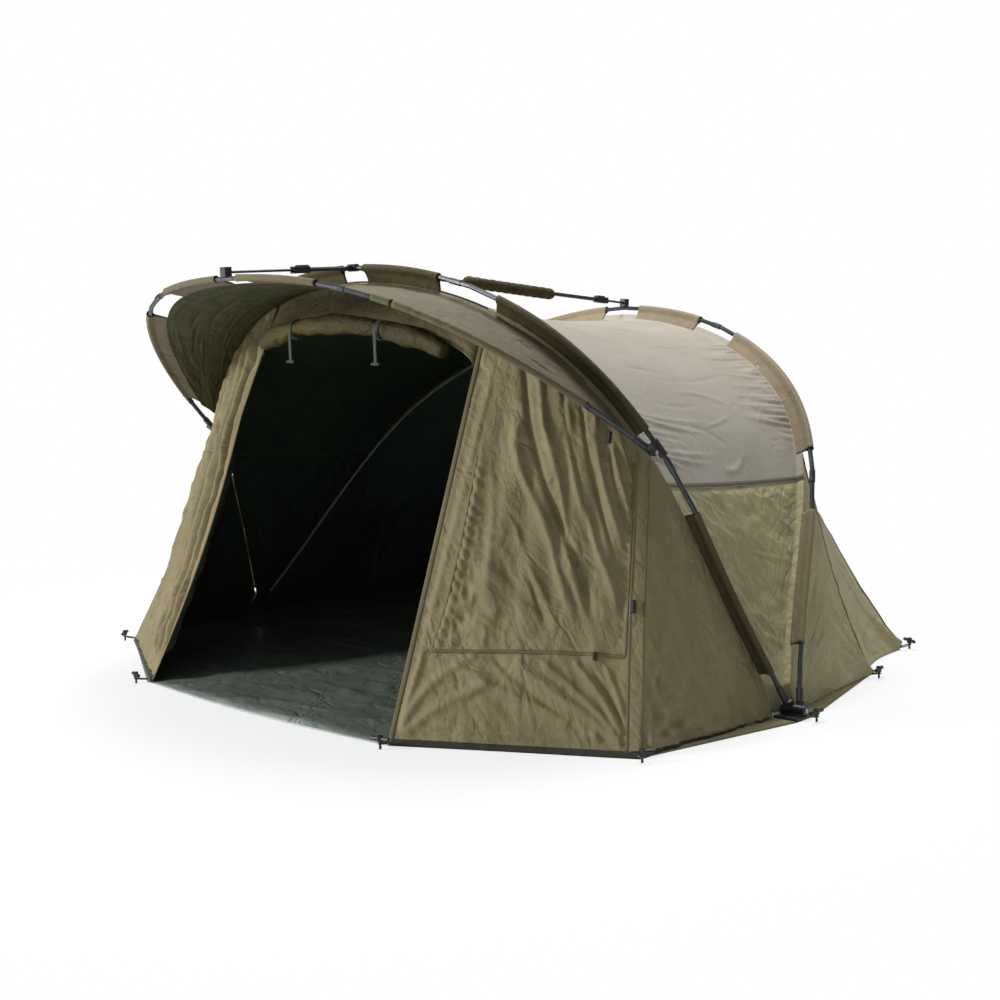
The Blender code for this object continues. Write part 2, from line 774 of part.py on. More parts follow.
def add_sleeves(item, rib, spans, depth, name):
    """Fuses every sleeve of a rib, left and right, to the cloth that carries them."""
    def build(work):
        for start, end in spans:
            if end >= 1.0:
                add_sleeve(work, rib, start, 2 - start, depth)
            else:
                add_sleeve(work, rib, start, end, depth)
                add_sleeve(work, rib, 2 - end, 2 - start, depth)
    fuse(item, tool_object(name, mesh_from(build, name)))


def cloth(name, rows, material):
    """Cloth lofted between two unlike edges: a grid of points, given a thickness."""
    def build(work):
        grid = [[work.verts.new(p) for p in row] for row in rows]
        for first, second in zip(grid, grid[1:]):
            for i in range(len(first) - 1):
                work.faces.new((first[i], first[i + 1], second[i + 1], second[i]))
    item = place_object(name, mesh_from(build, name), material)
    solid = item.modifiers.new("thickness", "SOLIDIFY")
    solid.thickness = cloth_thickness
    solid.offset = 0.0
    item.data.shade_smooth()
    return item


def crown_shares(rib, start):
    low = start + edge_margin_share
    return [start] + [s for s in rib.at if low < s < 2 - low] + [2 - start]


def lofted(upper, lower, rows, slack):
    """Rows of points from the upper edge to the lower, hollowed between them by the slack."""
    grid = []
    for r in range(rows + 1):
        v = r / rows
        line = []
        for i, (a, b) in enumerate(zip(upper, lower)):
            line.append(a.lerp(b, v) + slack(i / (len(upper) - 1), v))
        grid.append(line)
    return grid


def make_roof(front, rear):
    shares = crown_shares(front, roof_start_share)
    upper = [front.inset(s, sleeve_height) for s in shares]
    lower = [rear.inset(s, sleeve_height) for s in crown_shares(rear, roof_start_share)]

    def slack(u, v):
        share = roof_start_share + u * (2 - 2 * roof_start_share)
        inward = (front.inward(share) + rear.inward(share)).normalized()
        return inward * roof_sag * 4 * v * (1 - v) * math.sin(math.pi * u) ** 0.5

    roof = cloth("roof_canopy", lofted(upper, lower, roof_rows, slack), "roof_cloth")
    depth = sleeve_height + cloth_thickness * sleeve_sink_share
    add_sleeves(roof, front, front_sleeve_shares, depth, "front_sleeves")
    add_sleeves(roof, rear, rear_sleeve_shares, depth, "rear_sleeves")


def make_hood(front, peak):
    peak_start, front_start = hood_start_shares
    count = 2 * rib_stations + 1
    peak_at = [peak_start + (2 - 2 * peak_start) * i / (count - 1) for i in range(count)]
    front_at = [front_start + (2 - 2 * front_start) * i / (count - 1) for i in range(count)]
    ahead = sleeve_web / 2 + fit_gap * 2
    upper = [peak.inset(s, sleeve_height) for s in peak_at]
    lower = [front.inset(s, sleeve_height, ahead) for s in front_at]

    def slack(u, v):
        share = peak_start + (2 - 2 * peak_start) * u
        return peak.inward(share) * hood_sag * 4 * v * (1 - v) * math.sin(math.pi * u)

    hood = cloth("hood_canopy", lofted(upper, lower, hood_rows, slack), "hood_cloth")
    depth = sleeve_height + cloth_thickness * sleeve_sink_share
    add_sleeves(hood, peak, peak_sleeve_shares, depth, "peak_sleeves")


def ground_point(x, y):
    return Vector((x, y, sheet_thickness + fit_gap + cloth_thickness / 2))


def along_line(points, marks, count):
    """Points along a broken line whose corners fall at the given shares of the count."""
    line = []
    for i in range(count):
        share = i / (count - 1)
        j = max(k for k in range(len(marks) - 1) if share >= marks[k] - 1e-9)
        blend = (share - marks[j]) / (marks[j + 1] - marks[j])
        line.append(points[j].lerp(points[j + 1], blend))
    return line


def make_rear_wall(rear):
    shares = crown_shares(rear, wall_start_share)
    depth = sleeve_height + seam_gap
    upper = [rear.inset(s, depth, -(sleeve_web / 2 + cloth_thickness)) for s in shares]
    hub_x = hub_half_width - hub_corner_inset - sleeve_height
    right = [(hub_x, hub_seam_reach), side_corner, rear_corner]
    corners = [ground_point(x, y) for x, y in right]
    corners += [ground_point(-x, y) for x, y in reversed(right)]
    lower = along_line(corners, rear_corner_shares, len(shares))

    def slack(u, v):
        return Vector((0, -1, 0)) * rear_slack * 4 * v * (1 - v) * math.sin(math.pi * u)

    cloth("rear_wall", lofted(upper, lower, rear_rows, slack), "wall_cloth")


def wall_edge(front, shares, gap=seam_gap):
    ahead = sleeve_web / 2 + cloth_thickness * seam_clear_share
    return [front.inset(s, sleeve_height + gap, ahead) for s in shares]


def share_at_x(front, x):
    """Share of the front rib, on the right, whose wall edge is this far from the middle."""
    low, high = peak_hinge_share, 1.0
    for _ in range(30):
        middle = (low + high) / 2
        if wall_edge(front, [middle])[0].x > x:
            low = middle
        else:
            high = middle
    return low


def front_panel_rows(front, door_top, foot_x, sign):
    """Rows of the panel beside the door, from the hub round the front corner to the door."""
    door_share = share_at_x(front, door_top)
    beside_share = 1 - panel_side_share
    top_shares = []
    for i in range(panel_columns + 1):
        u = i / panel_columns
        if u < panel_side_share:
            share = wall_start_share + (peak_hinge_share - wall_start_share) * u / panel_side_share
        else:
            blend = (u - panel_side_share) / beside_share
            share = peak_hinge_share + (door_share - peak_hinge_share) * blend
        top_shares.append(share)
    upper = wall_edge(front, top_shares)
    hub_x = hub_half_width - hub_corner_inset - sleeve_height
    corners = [(hub_x, -hub_seam_reach), (front_corner[0], -front_corner[1]), (foot_x, -door_corner[1])]
    lower = along_line([ground_point(x, y) for x, y in corners], (0, panel_side_share, 1),
                       len(top_shares))
    normal = Vector(panel_lean).normalized()

    def slack(u, v):
        hang = front_slack * 4 * v * (1 - v) * math.sin(math.pi * u)
        beside = max(0.0, (u - panel_side_share) / beside_share)
        edge = min(1.0, beside / fold_margin_share, (1 - beside) / fold_margin_share)
        depth = fold_depth * edge * math.sin(math.pi * min(1.0, v * fold_fall_share))
        return normal * (depth * math.sin(2 * math.pi * fold_count * beside) - hang)

    rows = lofted(upper, lower, panel_rows, slack)
    if sign < 0:
        rows = [[Vector((-p.x, p.y, p.z)) for p in row] for row in rows]
    return rows


def make_front(front):
    right = front_panel_rows(front, door_top_right, door_corner[0], 1)
    left = front_panel_rows(front, door_top_left, door_foot_left, -1)
    cloth("front_wall_right", right, "wall_cloth")
    cloth("front_wall_left", left, "wall_cloth")
    right_edge = [row[-1] for row in right]
    left_edge = [row[-1] for row in left]
    gap = Vector((cloth_thickness, 0, 0))
    right_top, left_top = right_edge[0] - gap, left_edge[0] + gap
    right_low = right_edge[0].lerp(right_edge[-1], door_corner_share) - gap
    left_low = left_edge[0].lerp(left_edge[-1], door_corner_share) + gap
    start = share_at_x(front, right_top.x)
    end = 2 - share_at_x(front, -left_top.x)
    steps = [i / header_columns for i in range(header_columns + 1)]
    upper = wall_edge(front, [start + (end - start) * u for u in steps], header_gap)
    lower = [right_low.lerp(left_low, u) + front.rise * header_arch * math.sin(math.pi * u) ** 0.5
             for u in steps]
    cloth("door_header", lofted(upper, lower, header_rows, lambda u, v: Vector()), "wall_cloth")
    return right, left, lower


def make_door_roll(front, lower):
    """The door cloth rolled up under the header, as one long soft roll, and its two ties."""
    away = front.ahead * (roll_radius + roll_clear) - front.rise * roll_radius * roll_drop_share
    spread = even_line([p + away for p in lower[1:-1]], roll_stations)
    radii = []
    for i in range(len(spread)):
        share = i / (len(spread) - 1)
        full = min(1.0, min(share, 1 - share) / roll_taper_share)
        radii.append(roll_radius * (roll_end_share + (1 - roll_end_share) * full))
    name = "door_roll"
    roll = place_object(name, swept(name, spread, radii, roll_sides_step), "wall_cloth")
    finish_round(roll, 60)
    for side, share in zip(("right", "left"), tie_shares):
        i = round(share * (len(spread) - 1))
        at = spread[i]
        along = (spread[i + 1] - spread[i - 1]).normalized()
        make_tie("door_tie_" + side, at, along)


def even_line(points, count):
    """Points at even steps along a line through the given points."""
    marks = [0.0]
    for a, b in zip(points, points[1:]):
        marks.append(marks[-1] + (b - a).length)
    line = []
    for where in np.linspace(0, marks[-1], count):
        i = min(int(np.searchsorted(marks, where, side="right")) - 1, len(points) - 2)
        line.append(points[i].lerp(points[i + 1], (where - marks[i]) / (marks[i + 1] - marks[i])))
    return line


def make_tie(name, at, along):
    """A strap round the roll whose tail hangs in front, with a toggle through its end."""
    inner = bore_of(roll_radius, round_sides)
    outer = inner + tie_wall
    half = along * tie_width / 2
    strap = place_object(name, mesh_from(
        lambda w: add_cylinder(w, outer, at - half, at + half, round_sides), name), "webbing")
    tail_length = tie_tail + outer
    front_side = Vector((0, tie_wall / 2 - outer, 0))
    tail_middle = at + front_side - Vector((0, 0, tail_length / 2))
    fuse(strap, box_tool(name + "_tail", (tie_width * tie_tail_share, tie_wall * 2, tail_length),
                         Matrix.Translation(tail_middle)))
    toggle_at = tail_middle - Vector((0, 0, tail_length / 2 - tie_toggle_radius))
    across = Vector((toggle_length / 2, 0, 0))
    fuse(strap, cylinder_tool(name + "_toggle", tie_toggle_radius, toggle_at - across,
                              toggle_at + across))
    long = half * bore_run_share
    cut(strap, cylinder_tool(name + "_bore", inner, at - long, at + long, round_sides))


def crest_places(rows):
    """Places along the crests of a panel's folds, each with the ways out of it and down it."""
    places = []
    for upper, lower in zip(rows, rows[1:]):
        for i in range(1, len(upper) - 1):
            fall = (lower[i] - upper[i]).normalized()
            before, after = upper[i - 1] + lower[i - 1], upper[i + 1] + lower[i + 1]
            out = (after - before).cross(fall).normalized()
            out = out if out.y < 0 else -out
            if (upper[i] + lower[i] - (before + after) / 2).dot(out) > 0:
                for step in range(search_steps + 1):
                    share = trim_margin_share + (1 - 2 * trim_margin_share) * step / search_steps
                    places.append((upper[i].lerp(lower[i], share), out, fall))
    return places


def nearest_crest(rows, target):
    return min(crest_places(rows), key=lambda place: (place[0] - Vector(target)).length)


def place_slider(name, at, out, fall):
    lift = cloth_thickness / 2 + fit_gap * 2 + slider_size[1] / 2
    turn = Matrix((fall.cross(out), out, fall)).transposed().to_4x4()
    matrix = Matrix.Translation(at + out * lift) @ turn
    place_object(name, mesh_from(lambda w: add_box(w, slider_size, matrix), name), "black_plastic")


def make_trim(right, left):
    """Toggles and zip sliders that lie on the front panels."""
    for name, target in toggle_points.items():
        at, out, fall = nearest_crest(right, target)
        seat = at + out * (cloth_thickness / 2 + fit_gap + toggle_radius)
        half = fall * toggle_length / 2
        toggle = place_object(name, mesh_from(
            lambda w: add_cylinder(w, toggle_radius, seat - half, seat + half), name),
            "black_plastic")
        finish_round(toggle)
    place_slider("window_zip_slider", *nearest_crest(right, window_slider_point))
    for side, rows in (("right", right), ("left", left)):
        at = rows[0][-1].lerp(rows[-1][-1], slider_drop_share)
        fall = (rows[-1][-1] - rows[0][-1]).normalized()
        inward = (rows[1][-2] - rows[1][-1] + rows[0][-2] - rows[0][-1]).normalized()
        out = inward.cross(fall).normalized()
        out = out if out.y < 0 else -out
        shift = inward * slider_size[0] * slider_shift_share
        place_slider("door_zip_slider_" + side, at + shift, out, fall)


def ground_corners():
    """Right-hand corners of the ground plan, from the door round to the rear."""
    return {
        "door": Vector((door_corner[0], -door_corner[1], 0)),
        "corner": Vector((front_corner[0], -front_corner[1], 0)),
        "hub": Vector((hub_half_width + hub_base_size[0] / 2, 0, 0)),
        "side": Vector((side_corner[0], side_corner[1], 0)),
        "rear": Vector((rear_corner[0], rear_corner[1], 0)),
    }


def peg_places():
    outward = {"door": (0.25, -1), "corner": (0.75, -0.65), "hub": (1, 0), "side": (1, 0.2),
               "rear": (0.5, 1)}
    places = []
    for name, corner in ground_corners().items():
        way = Vector((*outward[name], 0)).normalized()
        for side, sign in (("right", 1), ("left", -1)):
            start = Vector((corner.x * sign, corner.y, 0))
            heading = Vector((way.x * sign, way.y, 0))
            places.append((name + "_" + side, start, heading))
    return places


def make_groundsheet():
    corners = ground_corners()
    right = [corners[k] for k in ("door", "corner", "hub", "side", "rear")]
    hub_depth = hub_base_size[1] / 2
    outline = right[:2]
    outline += [corners["hub"] + Vector((0, way * hub_depth, 0)) for way in (-1, 1)]
    outline += right[3:]
    outline += [Vector((-p.x, p.y, 0)) for p in reversed(outline)]
    door = corners["door"]
    for i in range(1, bulge_points):
        share = i / bulge_points
        x = -door.x + 2 * door.x * share
        outline.append(Vector((x, door.y - sheet_bulge * math.sin(math.pi * share), 0)))
    curve = bpy.data.curves.new("groundsheet", "CURVE")
    curve.dimensions = "2D"
    curve.fill_mode = "BOTH"
    curve.extrude = sheet_thickness / 2
    spline = curve.splines.new("POLY")
    spline.points.add(len(outline) - 1)
    for knot, point in zip(spline.points, outline):
        knot.co = (point.x, point.y, 0, 1)
    spline.use_cyclic_u = True
    flat = bpy.data.objects.new("groundsheet", curve)
    flat.location.z = sheet_thickness / 2
    collection.objects.link(flat)
    bpy.context.view_layer.update()
    mesh = bpy.data.meshes.new_from_object(flat.evaluated_get(bpy.context.evaluated_depsgraph_get()))
    mesh.transform(flat.matrix_world)
    bpy.data.objects.remove(flat)
    bpy.data.curves.remove(curve)
    work = bmesh.new()
    work.from_mesh(mesh)
    bmesh.ops.remove_doubles(work, verts=work.verts, dist=fit_gap / 10)
    bmesh.ops.recalc_face_normals(work, faces=work.faces)
    work.to_mesh(mesh)
    work.free()
    sheet = place_object("groundsheet", mesh, "floor_cloth")

    def tabs(work):
        for name, start, heading in peg_places():
            length = peg_reach + tab_overhang + tab_inset
            middle = start + heading * (length / 2 - tab_inset)
            middle.z = tab_thickness / 2
            add_box(work, (tab_width, length, tab_thickness),
                    Matrix.Translation(middle) @ heading.to_track_quat("Y", "Z").to_matrix().to_4x4())

    def eyelets(work):
        for name, start, heading in peg_places():
            at = start + heading * peg_reach
            add_cylinder(work, bore_of(peg_radius, 8), at - Vector((0, 0, sheet_thickness)),
                         at + Vector((0, 0, sheet_thickness * 2)), 8)

    fuse(sheet, tool_object("webbing_tabs", mesh_from(tabs, "webbing_tabs")))
    cut(sheet, tool_object("eyelets", mesh_from(eyelets, "eyelets")))


def make_pegs():
    """Tee-handled pegs, shown down to ground level."""
    handle_z = peg_handle_height
    half = peg_handle_length / 2
    shank = mesh_from(lambda w: add_cylinder(w, peg_radius, (0, 0, fit_gap), (0, 0, handle_z), 8),
                      "peg")
    boss = mesh_from(lambda w: add_cylinder(w, peg_boss_radius, (0, 0, handle_z - peg_boss_height / 2),
                                            (0, 0, handle_z + peg_boss_height / 2), 10), "peg_boss")
    grip = mesh_from(lambda w: add_cylinder(w, peg_handle_radius, (-half, 0, handle_z),
                                            (half, 0, handle_z), 8), "peg_grip")
    pattern = place_object("peg_pattern", shank, "black_plastic")
    fuse(pattern, tool_object("peg_boss", boss))
    fuse(pattern, tool_object("peg_grip", grip))
    bpy.context.view_layer.update()
    mesh = bpy.data.meshes.new_from_object(pattern.evaluated_get(bpy.context.evaluated_depsgraph_get()))
    mesh.name = "peg"
    bpy.data.objects.remove(pattern)
    mesh.shade_smooth()
    mesh.set_sharp_from_angle(angle=math.radians(35))
    for name, start, heading in peg_places():
        peg = place_object("peg_" + name, mesh, "black_plastic")
        peg.location = start + heading * peg_reach
        peg.rotation_euler.z = math.atan2(heading.y, heading.x) + math.pi / 2


def main():
    clear_scene()
    make_materials()
    front, rear, peak, hinge = make_ribs()
    foot_gap = socket_length - socket_depth + fit_gap * 2
    make_poles(front, "front_rib", front_joint_shares, foot_gap)
    make_poles(rear, "rear_rib", rear_joint_shares, foot_gap)
    peak_gap = fork_reach + peak_socket_length - peak_socket_depth + fit_gap * 2
    make_poles(peak, "peak_rib", peak_joint_shares, peak_gap)
    for side, sign in (("right", 1), ("left", -1)):
        make_hub(side, sign)
        make_foot(front, "front_rib_foot_" + side, side)
        make_foot(rear, "rear_rib_foot_" + side, side)
        make_y_block(front, peak, hinge, side, sign)
    peak_top, rear_top = peak.point(1.0), rear.point(1.0)
    make_bracket(front, peak_top, rear_top)
    make_bar("front_bar", front, peak_top, front_bar_lock_share, front_bar_bore)
    rear_bar = make_bar("rear_bar", front, rear_top, rear_bar_lock_share, rear_bar_bore)
    make_cover(*rear_bar)
    make_groundsheet()
    make_pegs()
    make_roof(front, rear)
    make_hood(front, peak)
    make_rear_wall(rear)
    right, left, header_edge = make_front(front)
    make_door_roll(front, header_edge)
    make_trim(right, left)


main()
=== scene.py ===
# Two-person bivvy tent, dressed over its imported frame. Metres, +Z up, the front faces -Y.
# "share" runs along a rib: 0 at its right foot, 1 at the top, 2 at its left foot.
import math

import bpy
import numpy as np
from mathutils import Matrix, Vector


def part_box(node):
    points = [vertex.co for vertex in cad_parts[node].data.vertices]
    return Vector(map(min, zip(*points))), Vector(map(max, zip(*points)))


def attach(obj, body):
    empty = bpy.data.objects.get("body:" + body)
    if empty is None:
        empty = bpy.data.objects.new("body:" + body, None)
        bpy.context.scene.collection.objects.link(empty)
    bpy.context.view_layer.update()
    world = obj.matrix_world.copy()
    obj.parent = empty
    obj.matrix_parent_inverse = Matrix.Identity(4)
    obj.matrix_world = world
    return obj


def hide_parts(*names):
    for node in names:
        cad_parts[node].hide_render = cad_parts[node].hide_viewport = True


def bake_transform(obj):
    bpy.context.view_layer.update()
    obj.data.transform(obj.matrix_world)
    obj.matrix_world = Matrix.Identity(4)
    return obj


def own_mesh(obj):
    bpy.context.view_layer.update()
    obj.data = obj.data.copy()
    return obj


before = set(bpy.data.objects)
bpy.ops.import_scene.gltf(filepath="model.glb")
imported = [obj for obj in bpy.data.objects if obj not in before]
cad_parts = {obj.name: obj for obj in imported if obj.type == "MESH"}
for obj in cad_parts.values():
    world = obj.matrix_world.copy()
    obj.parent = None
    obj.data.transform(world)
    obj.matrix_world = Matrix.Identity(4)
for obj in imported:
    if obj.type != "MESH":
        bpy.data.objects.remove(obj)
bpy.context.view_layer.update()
across = np.array((1.0, 0.0, 0.0))
upward = np.array((0.0, 0.0, 1.0))
print("frame loaded:", len(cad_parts), "nodes")


# Nodes, for the world and the materials

def setInput(tree, socket, value):
    # Another node's output is linked to the socket; a number or a colour is set on it.
    if isinstance(value, bpy.types.NodeSocket):
        tree.links.new(value, socket)
    elif isinstance(value, tuple) and socket.type == "RGBA":
        socket.default_value = (*value, 1)
    else:
        socket.default_value = value


def addNode(tree, kind, options=None, inputs=None):
    node = tree.nodes.new("ShaderNode" + kind)
    for key, value in (options or {}).items():
        setattr(node, key, value)
    for key, value in (inputs or {}).items():
        setInput(tree, node.inputs[key], value)
    return node


def mathNode(tree, operation, *values):
    return addNode(tree, "Math", {"operation": operation}, dict(enumerate(values))).outputs[0]


def noiseNode(tree, vector, scale, detail, roughness, distortion=0.0):
    inputs = {"Vector": vector, "Scale": scale, "Detail": detail, "Roughness": roughness,
              "Distortion": distortion}
    return addNode(tree, "TexNoise", {}, inputs).outputs["Fac"]


def mixColour(tree, share, first, second, blend="MIX"):
    options = {"data_type": "RGBA", "blend_type": blend}
    return addNode(tree, "Mix", options, {0: share, 6: first, 7: second}).outputs[2]


def fadeNode(tree, value, low, high, least=0.0, curve="SMOOTHSTEP"):
    # Rises from "least" at the low value to one at the high.
    inputs = {"Value": value, "From Min": low, "From Max": high, "To Min": least}
    return addNode(tree, "MapRange", {"interpolation_type": curve}, inputs).outputs["Result"]


# Camera, floor and light

view = {"place": (4.2335, -4.1267, 1.3361), "turn": 0.77816, "tilt": 0.119852, "roll": -0.028773,
        "lens": 54.349, "sensor": 36.0}
studio = {
    "skyColour": (0.93, 0.96, 1.0), "skyStrength": 0.34, "aim": (0, 0, 0.5),
    "keyWatts": 400.0, "keyPlace": (-0.4, 0.9, 6.4), "keySize": 2.2,
    "fillWatts": 620.0, "fillPlace": (-3.7, -7.0, 3.3), "fillSize": 1.8,
    "floorColour": (0.86, 0.86, 0.86), "floorRough": 0.9, "floorHalf": 30.0, "floorDrop": 0.001,
    "whiteFrom": 1.2, "whiteBy": 3.2, "leastWhite": 0.72,
}


def makeCamera():
    # Turn and tilt give the line of sight; the side and up lines roll about it.
    data = bpy.data.cameras.new("camera")
    data.lens = view["lens"]
    data.sensor_width = view["sensor"]
    camera = bpy.data.objects.new("camera", data)
    bpy.context.scene.collection.objects.link(camera)
    turn, tilt, roll = view["turn"], view["tilt"], view["roll"]
    ahead = np.array((-math.sin(turn) * math.cos(tilt), math.cos(turn) * math.cos(tilt), -math.sin(tilt)))
    side = np.array((math.cos(turn), math.sin(turn), 0.0))
    up = np.cross(side, ahead)
    matrix = np.eye(4)
    matrix[:3, 0] = side * math.cos(roll) + up * math.sin(roll)
    matrix[:3, 1] = up * math.cos(roll) - side * math.sin(roll)
    matrix[:3, 2] = -ahead
    matrix[:3, 3] = view["place"]
    camera.matrix_world = Matrix(matrix.tolist())
    bpy.context.scene.camera = camera


def makeLamp(name):
    data = bpy.data.lights.new(name + "Lamp", "AREA")
    data.energy = studio[name + "Watts"]
    data.size = studio[name + "Size"]
    lamp = bpy.data.objects.new(name + "Lamp", data)
    lamp.location = studio[name + "Place"]
    bpy.context.scene.collection.objects.link(lamp)
    heading = Vector(studio["aim"]) - Vector(studio[name + "Place"])
    lamp.rotation_euler = heading.to_track_quat("-Z", "Y").to_euler()


def makeWorld():
    # The object stands in a dim sky, and the camera sees a white one.
    world = bpy.data.worlds.new("studio")
    bpy.context.scene.world = world
    world.use_nodes = True
    tree = world.node_tree
    tree.nodes.clear()
    sky = addNode(tree, "Background", {}, {"Color": studio["skyColour"], "Strength": studio["skyStrength"]})
    white = addNode(tree, "Background", {}, {"Color": (1, 1, 1)})
    seen = addNode(tree, "LightPath").outputs["Is Camera Ray"]
    mix = addNode(tree, "MixShader", {}, {0: seen, 1: sky.outputs[0], 2: white.outputs[0]})
    addNode(tree, "OutputWorld", {}, {"Surface": mix.outputs[0]})


def makeFloor():
    # Pale paper, which the camera sees glow whiter with its distance from the object.
    half, low = studio["floorHalf"], -studio["floorDrop"]
    corners = [(-half, -half, low), (half, -half, low), (half, half, low), (-half, half, low)]
    mesh = bpy.data.meshes.new("floor")
    mesh.from_pydata(corners, [], [(0, 1, 2, 3)])
    floor = bpy.data.objects.new("floor", mesh)
    bpy.context.scene.collection.objects.link(floor)
    material = bpy.data.materials.new("floorPaper")
    material.use_nodes = True
    tree = material.node_tree
    paper = tree.nodes["Principled BSDF"]
    setInput(tree, paper.inputs["Base Color"], studio["floorColour"])
    setInput(tree, paper.inputs["Roughness"], studio["floorRough"])
    place = addNode(tree, "TexCoord").outputs["Object"]
    distance = addNode(tree, "VectorMath", {"operation": "LENGTH"}, {0: place}).outputs["Value"]
    far = fadeNode(tree, distance, studio["whiteFrom"], studio["whiteBy"], studio["leastWhite"])
    seen = mathNode(tree, "MULTIPLY", far, addNode(tree, "LightPath").outputs["Is Camera Ray"])
    glow = addNode(tree, "Emission")
    mix = addNode(tree, "MixShader", {}, {0: seen, 1: paper.outputs[0], 2: glow.outputs[0]})
    tree.links.new(mix.outputs[0], tree.nodes["Material Output"].inputs["Surface"])
    mesh.materials.append(material)


makeCamera()
makeLamp("key")
makeLamp("fill")
makeWorld()
makeFloor()
bpy.context.scene.view_settings.view_transform = "Standard"
print("camera, floor and light made")


# Finishes: one node group for cloth, and one for poles and mouldings

clothLook = {
    "patchScale": 2.2, "mottleScale": 46.0, "mottleShare": 0.25, "toneLow": 0.34, "toneHigh": 0.66,
    "softScale": 7.0, "fineScale": 21.0, "fineHeight": 0.45, "bendScale": 5.0, "bend": 0.17,
    "deepScale": 4.2, "deepPower": 3.0, "deepHeight": 5.0, "creasePaintedShade": 0.03,
    "wideScale": 8.5, "wideWidth": 0.16, "wideHeight": 0.36,
    "narrowScale": 23.0, "narrowWidth": 0.20, "narrowHeight": 0.15,
    "threads": 2400.0, "weaveHeight": 0.012, "leastRough": 0.62, "roughSpread": 0.16,
    "bump": (0.02, 0.5), "sheenRough": 0.5, "specular": 0.3,
}
wearLook = {
    "scuffScale": 9.0, "scuffLow": 0.5, "scuffHigh": 0.78, "leastRough": 0.28, "roughSpread": 0.3,
    "bump": (0.0004, 0.35),
}


def newGroup(name, inputs):
    group = bpy.data.node_groups.new(name, "ShaderNodeTree")
    for kind, label in (("Vector", "Place"), *inputs):
        group.interface.new_socket(label, in_out="INPUT", socket_type="NodeSocket" + kind)
    for kind, label in (("Color", "Colour"), ("Float", "Height"), ("Float", "Rough")):
        group.interface.new_socket(label, in_out="OUTPUT", socket_type="NodeSocket" + kind)
    return group, group.nodes.new("NodeGroupInput").outputs, group.nodes.new("NodeGroupOutput").inputs


def ridgeNode(tree, place, scale, roughness, distortion):
    # Nil where a noise crosses its middle value, and up to a half away from there.
    noise = noiseNode(tree, place, scale, 3.0, roughness, distortion)
    return mathNode(tree, "ABSOLUTE", mathNode(tree, "SUBTRACT", noise, 0.5))


def creaseNode(tree, place, scale, width):
    # One where the cloth is flat and nil along creases, the borders between scattered points.
    inputs = {"Vector": place, "Scale": scale}
    points = addNode(tree, "TexVoronoi", {"feature": "DISTANCE_TO_EDGE"}, inputs)
    return fadeNode(tree, points.outputs["Distance"], 0.0, width)


def makeClothGroup():
    # Colour drifts between two tones over hand-sized patches and finer mottling, with painted shade that
    # makes it a little darker in creases. Height adds a weave to soft crumples, along which a noise crosses
    # its middle value, and to sharp creases between scattered points, deeper where a broad noise is high.
    look = clothLook
    group, start, end = newGroup("clothFinish", (("Color", "Light"), ("Color", "Dark"), ("Float", "Crumple")))
    place = start["Place"]
    patches = noiseNode(group, place, look["patchScale"], 4.0, 0.6, 0.4)
    mottle = noiseNode(group, place, look["mottleScale"], 2.0, 0.6)
    both = mathNode(group, "ADD", mathNode(group, "MULTIPLY", patches, 1 - look["mottleShare"]),
                    mathNode(group, "MULTIPLY", mottle, look["mottleShare"]))
    tone = fadeNode(group, both, look["toneLow"], look["toneHigh"], curve="LINEAR")
    colour = mixColour(group, tone, start["Dark"], start["Light"])
    soft = mathNode(group, "MULTIPLY", ridgeNode(group, place, look["softScale"], 0.55, 0.8), -1.0)
    fine = ridgeNode(group, place, look["fineScale"], 0.6, 0.6)
    fine = mathNode(group, "MULTIPLY", fine, -look["fineHeight"])
    drift = addNode(group, "TexNoise", {}, {"Vector": place, "Scale": look["bendScale"]}).outputs["Color"]
    bent = addNode(group, "VectorMath", {"operation": "MULTIPLY_ADD"},
                   {0: drift, 1: (look["bend"],) * 3, 2: place}).outputs[0]
    wide = creaseNode(group, bent, look["wideScale"], look["wideWidth"])
    narrow = creaseNode(group, bent, look["narrowScale"], look["narrowWidth"])
    sharp = mathNode(group, "ADD", mathNode(group, "MULTIPLY", wide, look["wideHeight"]),
                     mathNode(group, "MULTIPLY", narrow, look["narrowHeight"]))
    deep = mathNode(group, "POWER", noiseNode(group, place, look["deepScale"], 2.0, 0.5), look["deepPower"])
    height = mathNode(group, "MULTIPLY_ADD", sharp, mathNode(group, "MULTIPLY", deep, look["deepHeight"]),
                      mathNode(group, "ADD", soft, fine))
    height = mathNode(group, "MULTIPLY", height, start["Crumple"])
    # Painted shade: the colour is multiplied a little darker along the wide creases.
    crease = mathNode(group, "MULTIPLY", mathNode(group, "SUBTRACT", wide, 1.0), start["Crumple"])
    shade = mathNode(group, "MULTIPLY_ADD", crease, look["creasePaintedShade"], 1.0)
    parts = addNode(group, "SeparateXYZ", {}, {0: place}).outputs
    warp = mathNode(group, "SINE", mathNode(group, "MULTIPLY", parts["X"], look["threads"]))
    weft = mathNode(group, "SINE", mathNode(group, "MULTIPLY", parts["Y"], look["threads"]))
    weave = mathNode(group, "MULTIPLY", mathNode(group, "MULTIPLY", warp, weft), look["weaveHeight"])
    setInput(group, end["Colour"], mixColour(group, 1.0, colour, shade, "MULTIPLY"))
    setInput(group, end["Height"], mathNode(group, "ADD", height, weave))
    rough = mathNode(group, "MULTIPLY_ADD", mottle, look["roughSpread"], look["leastRough"])
    setInput(group, end["Rough"], rough)
    return group


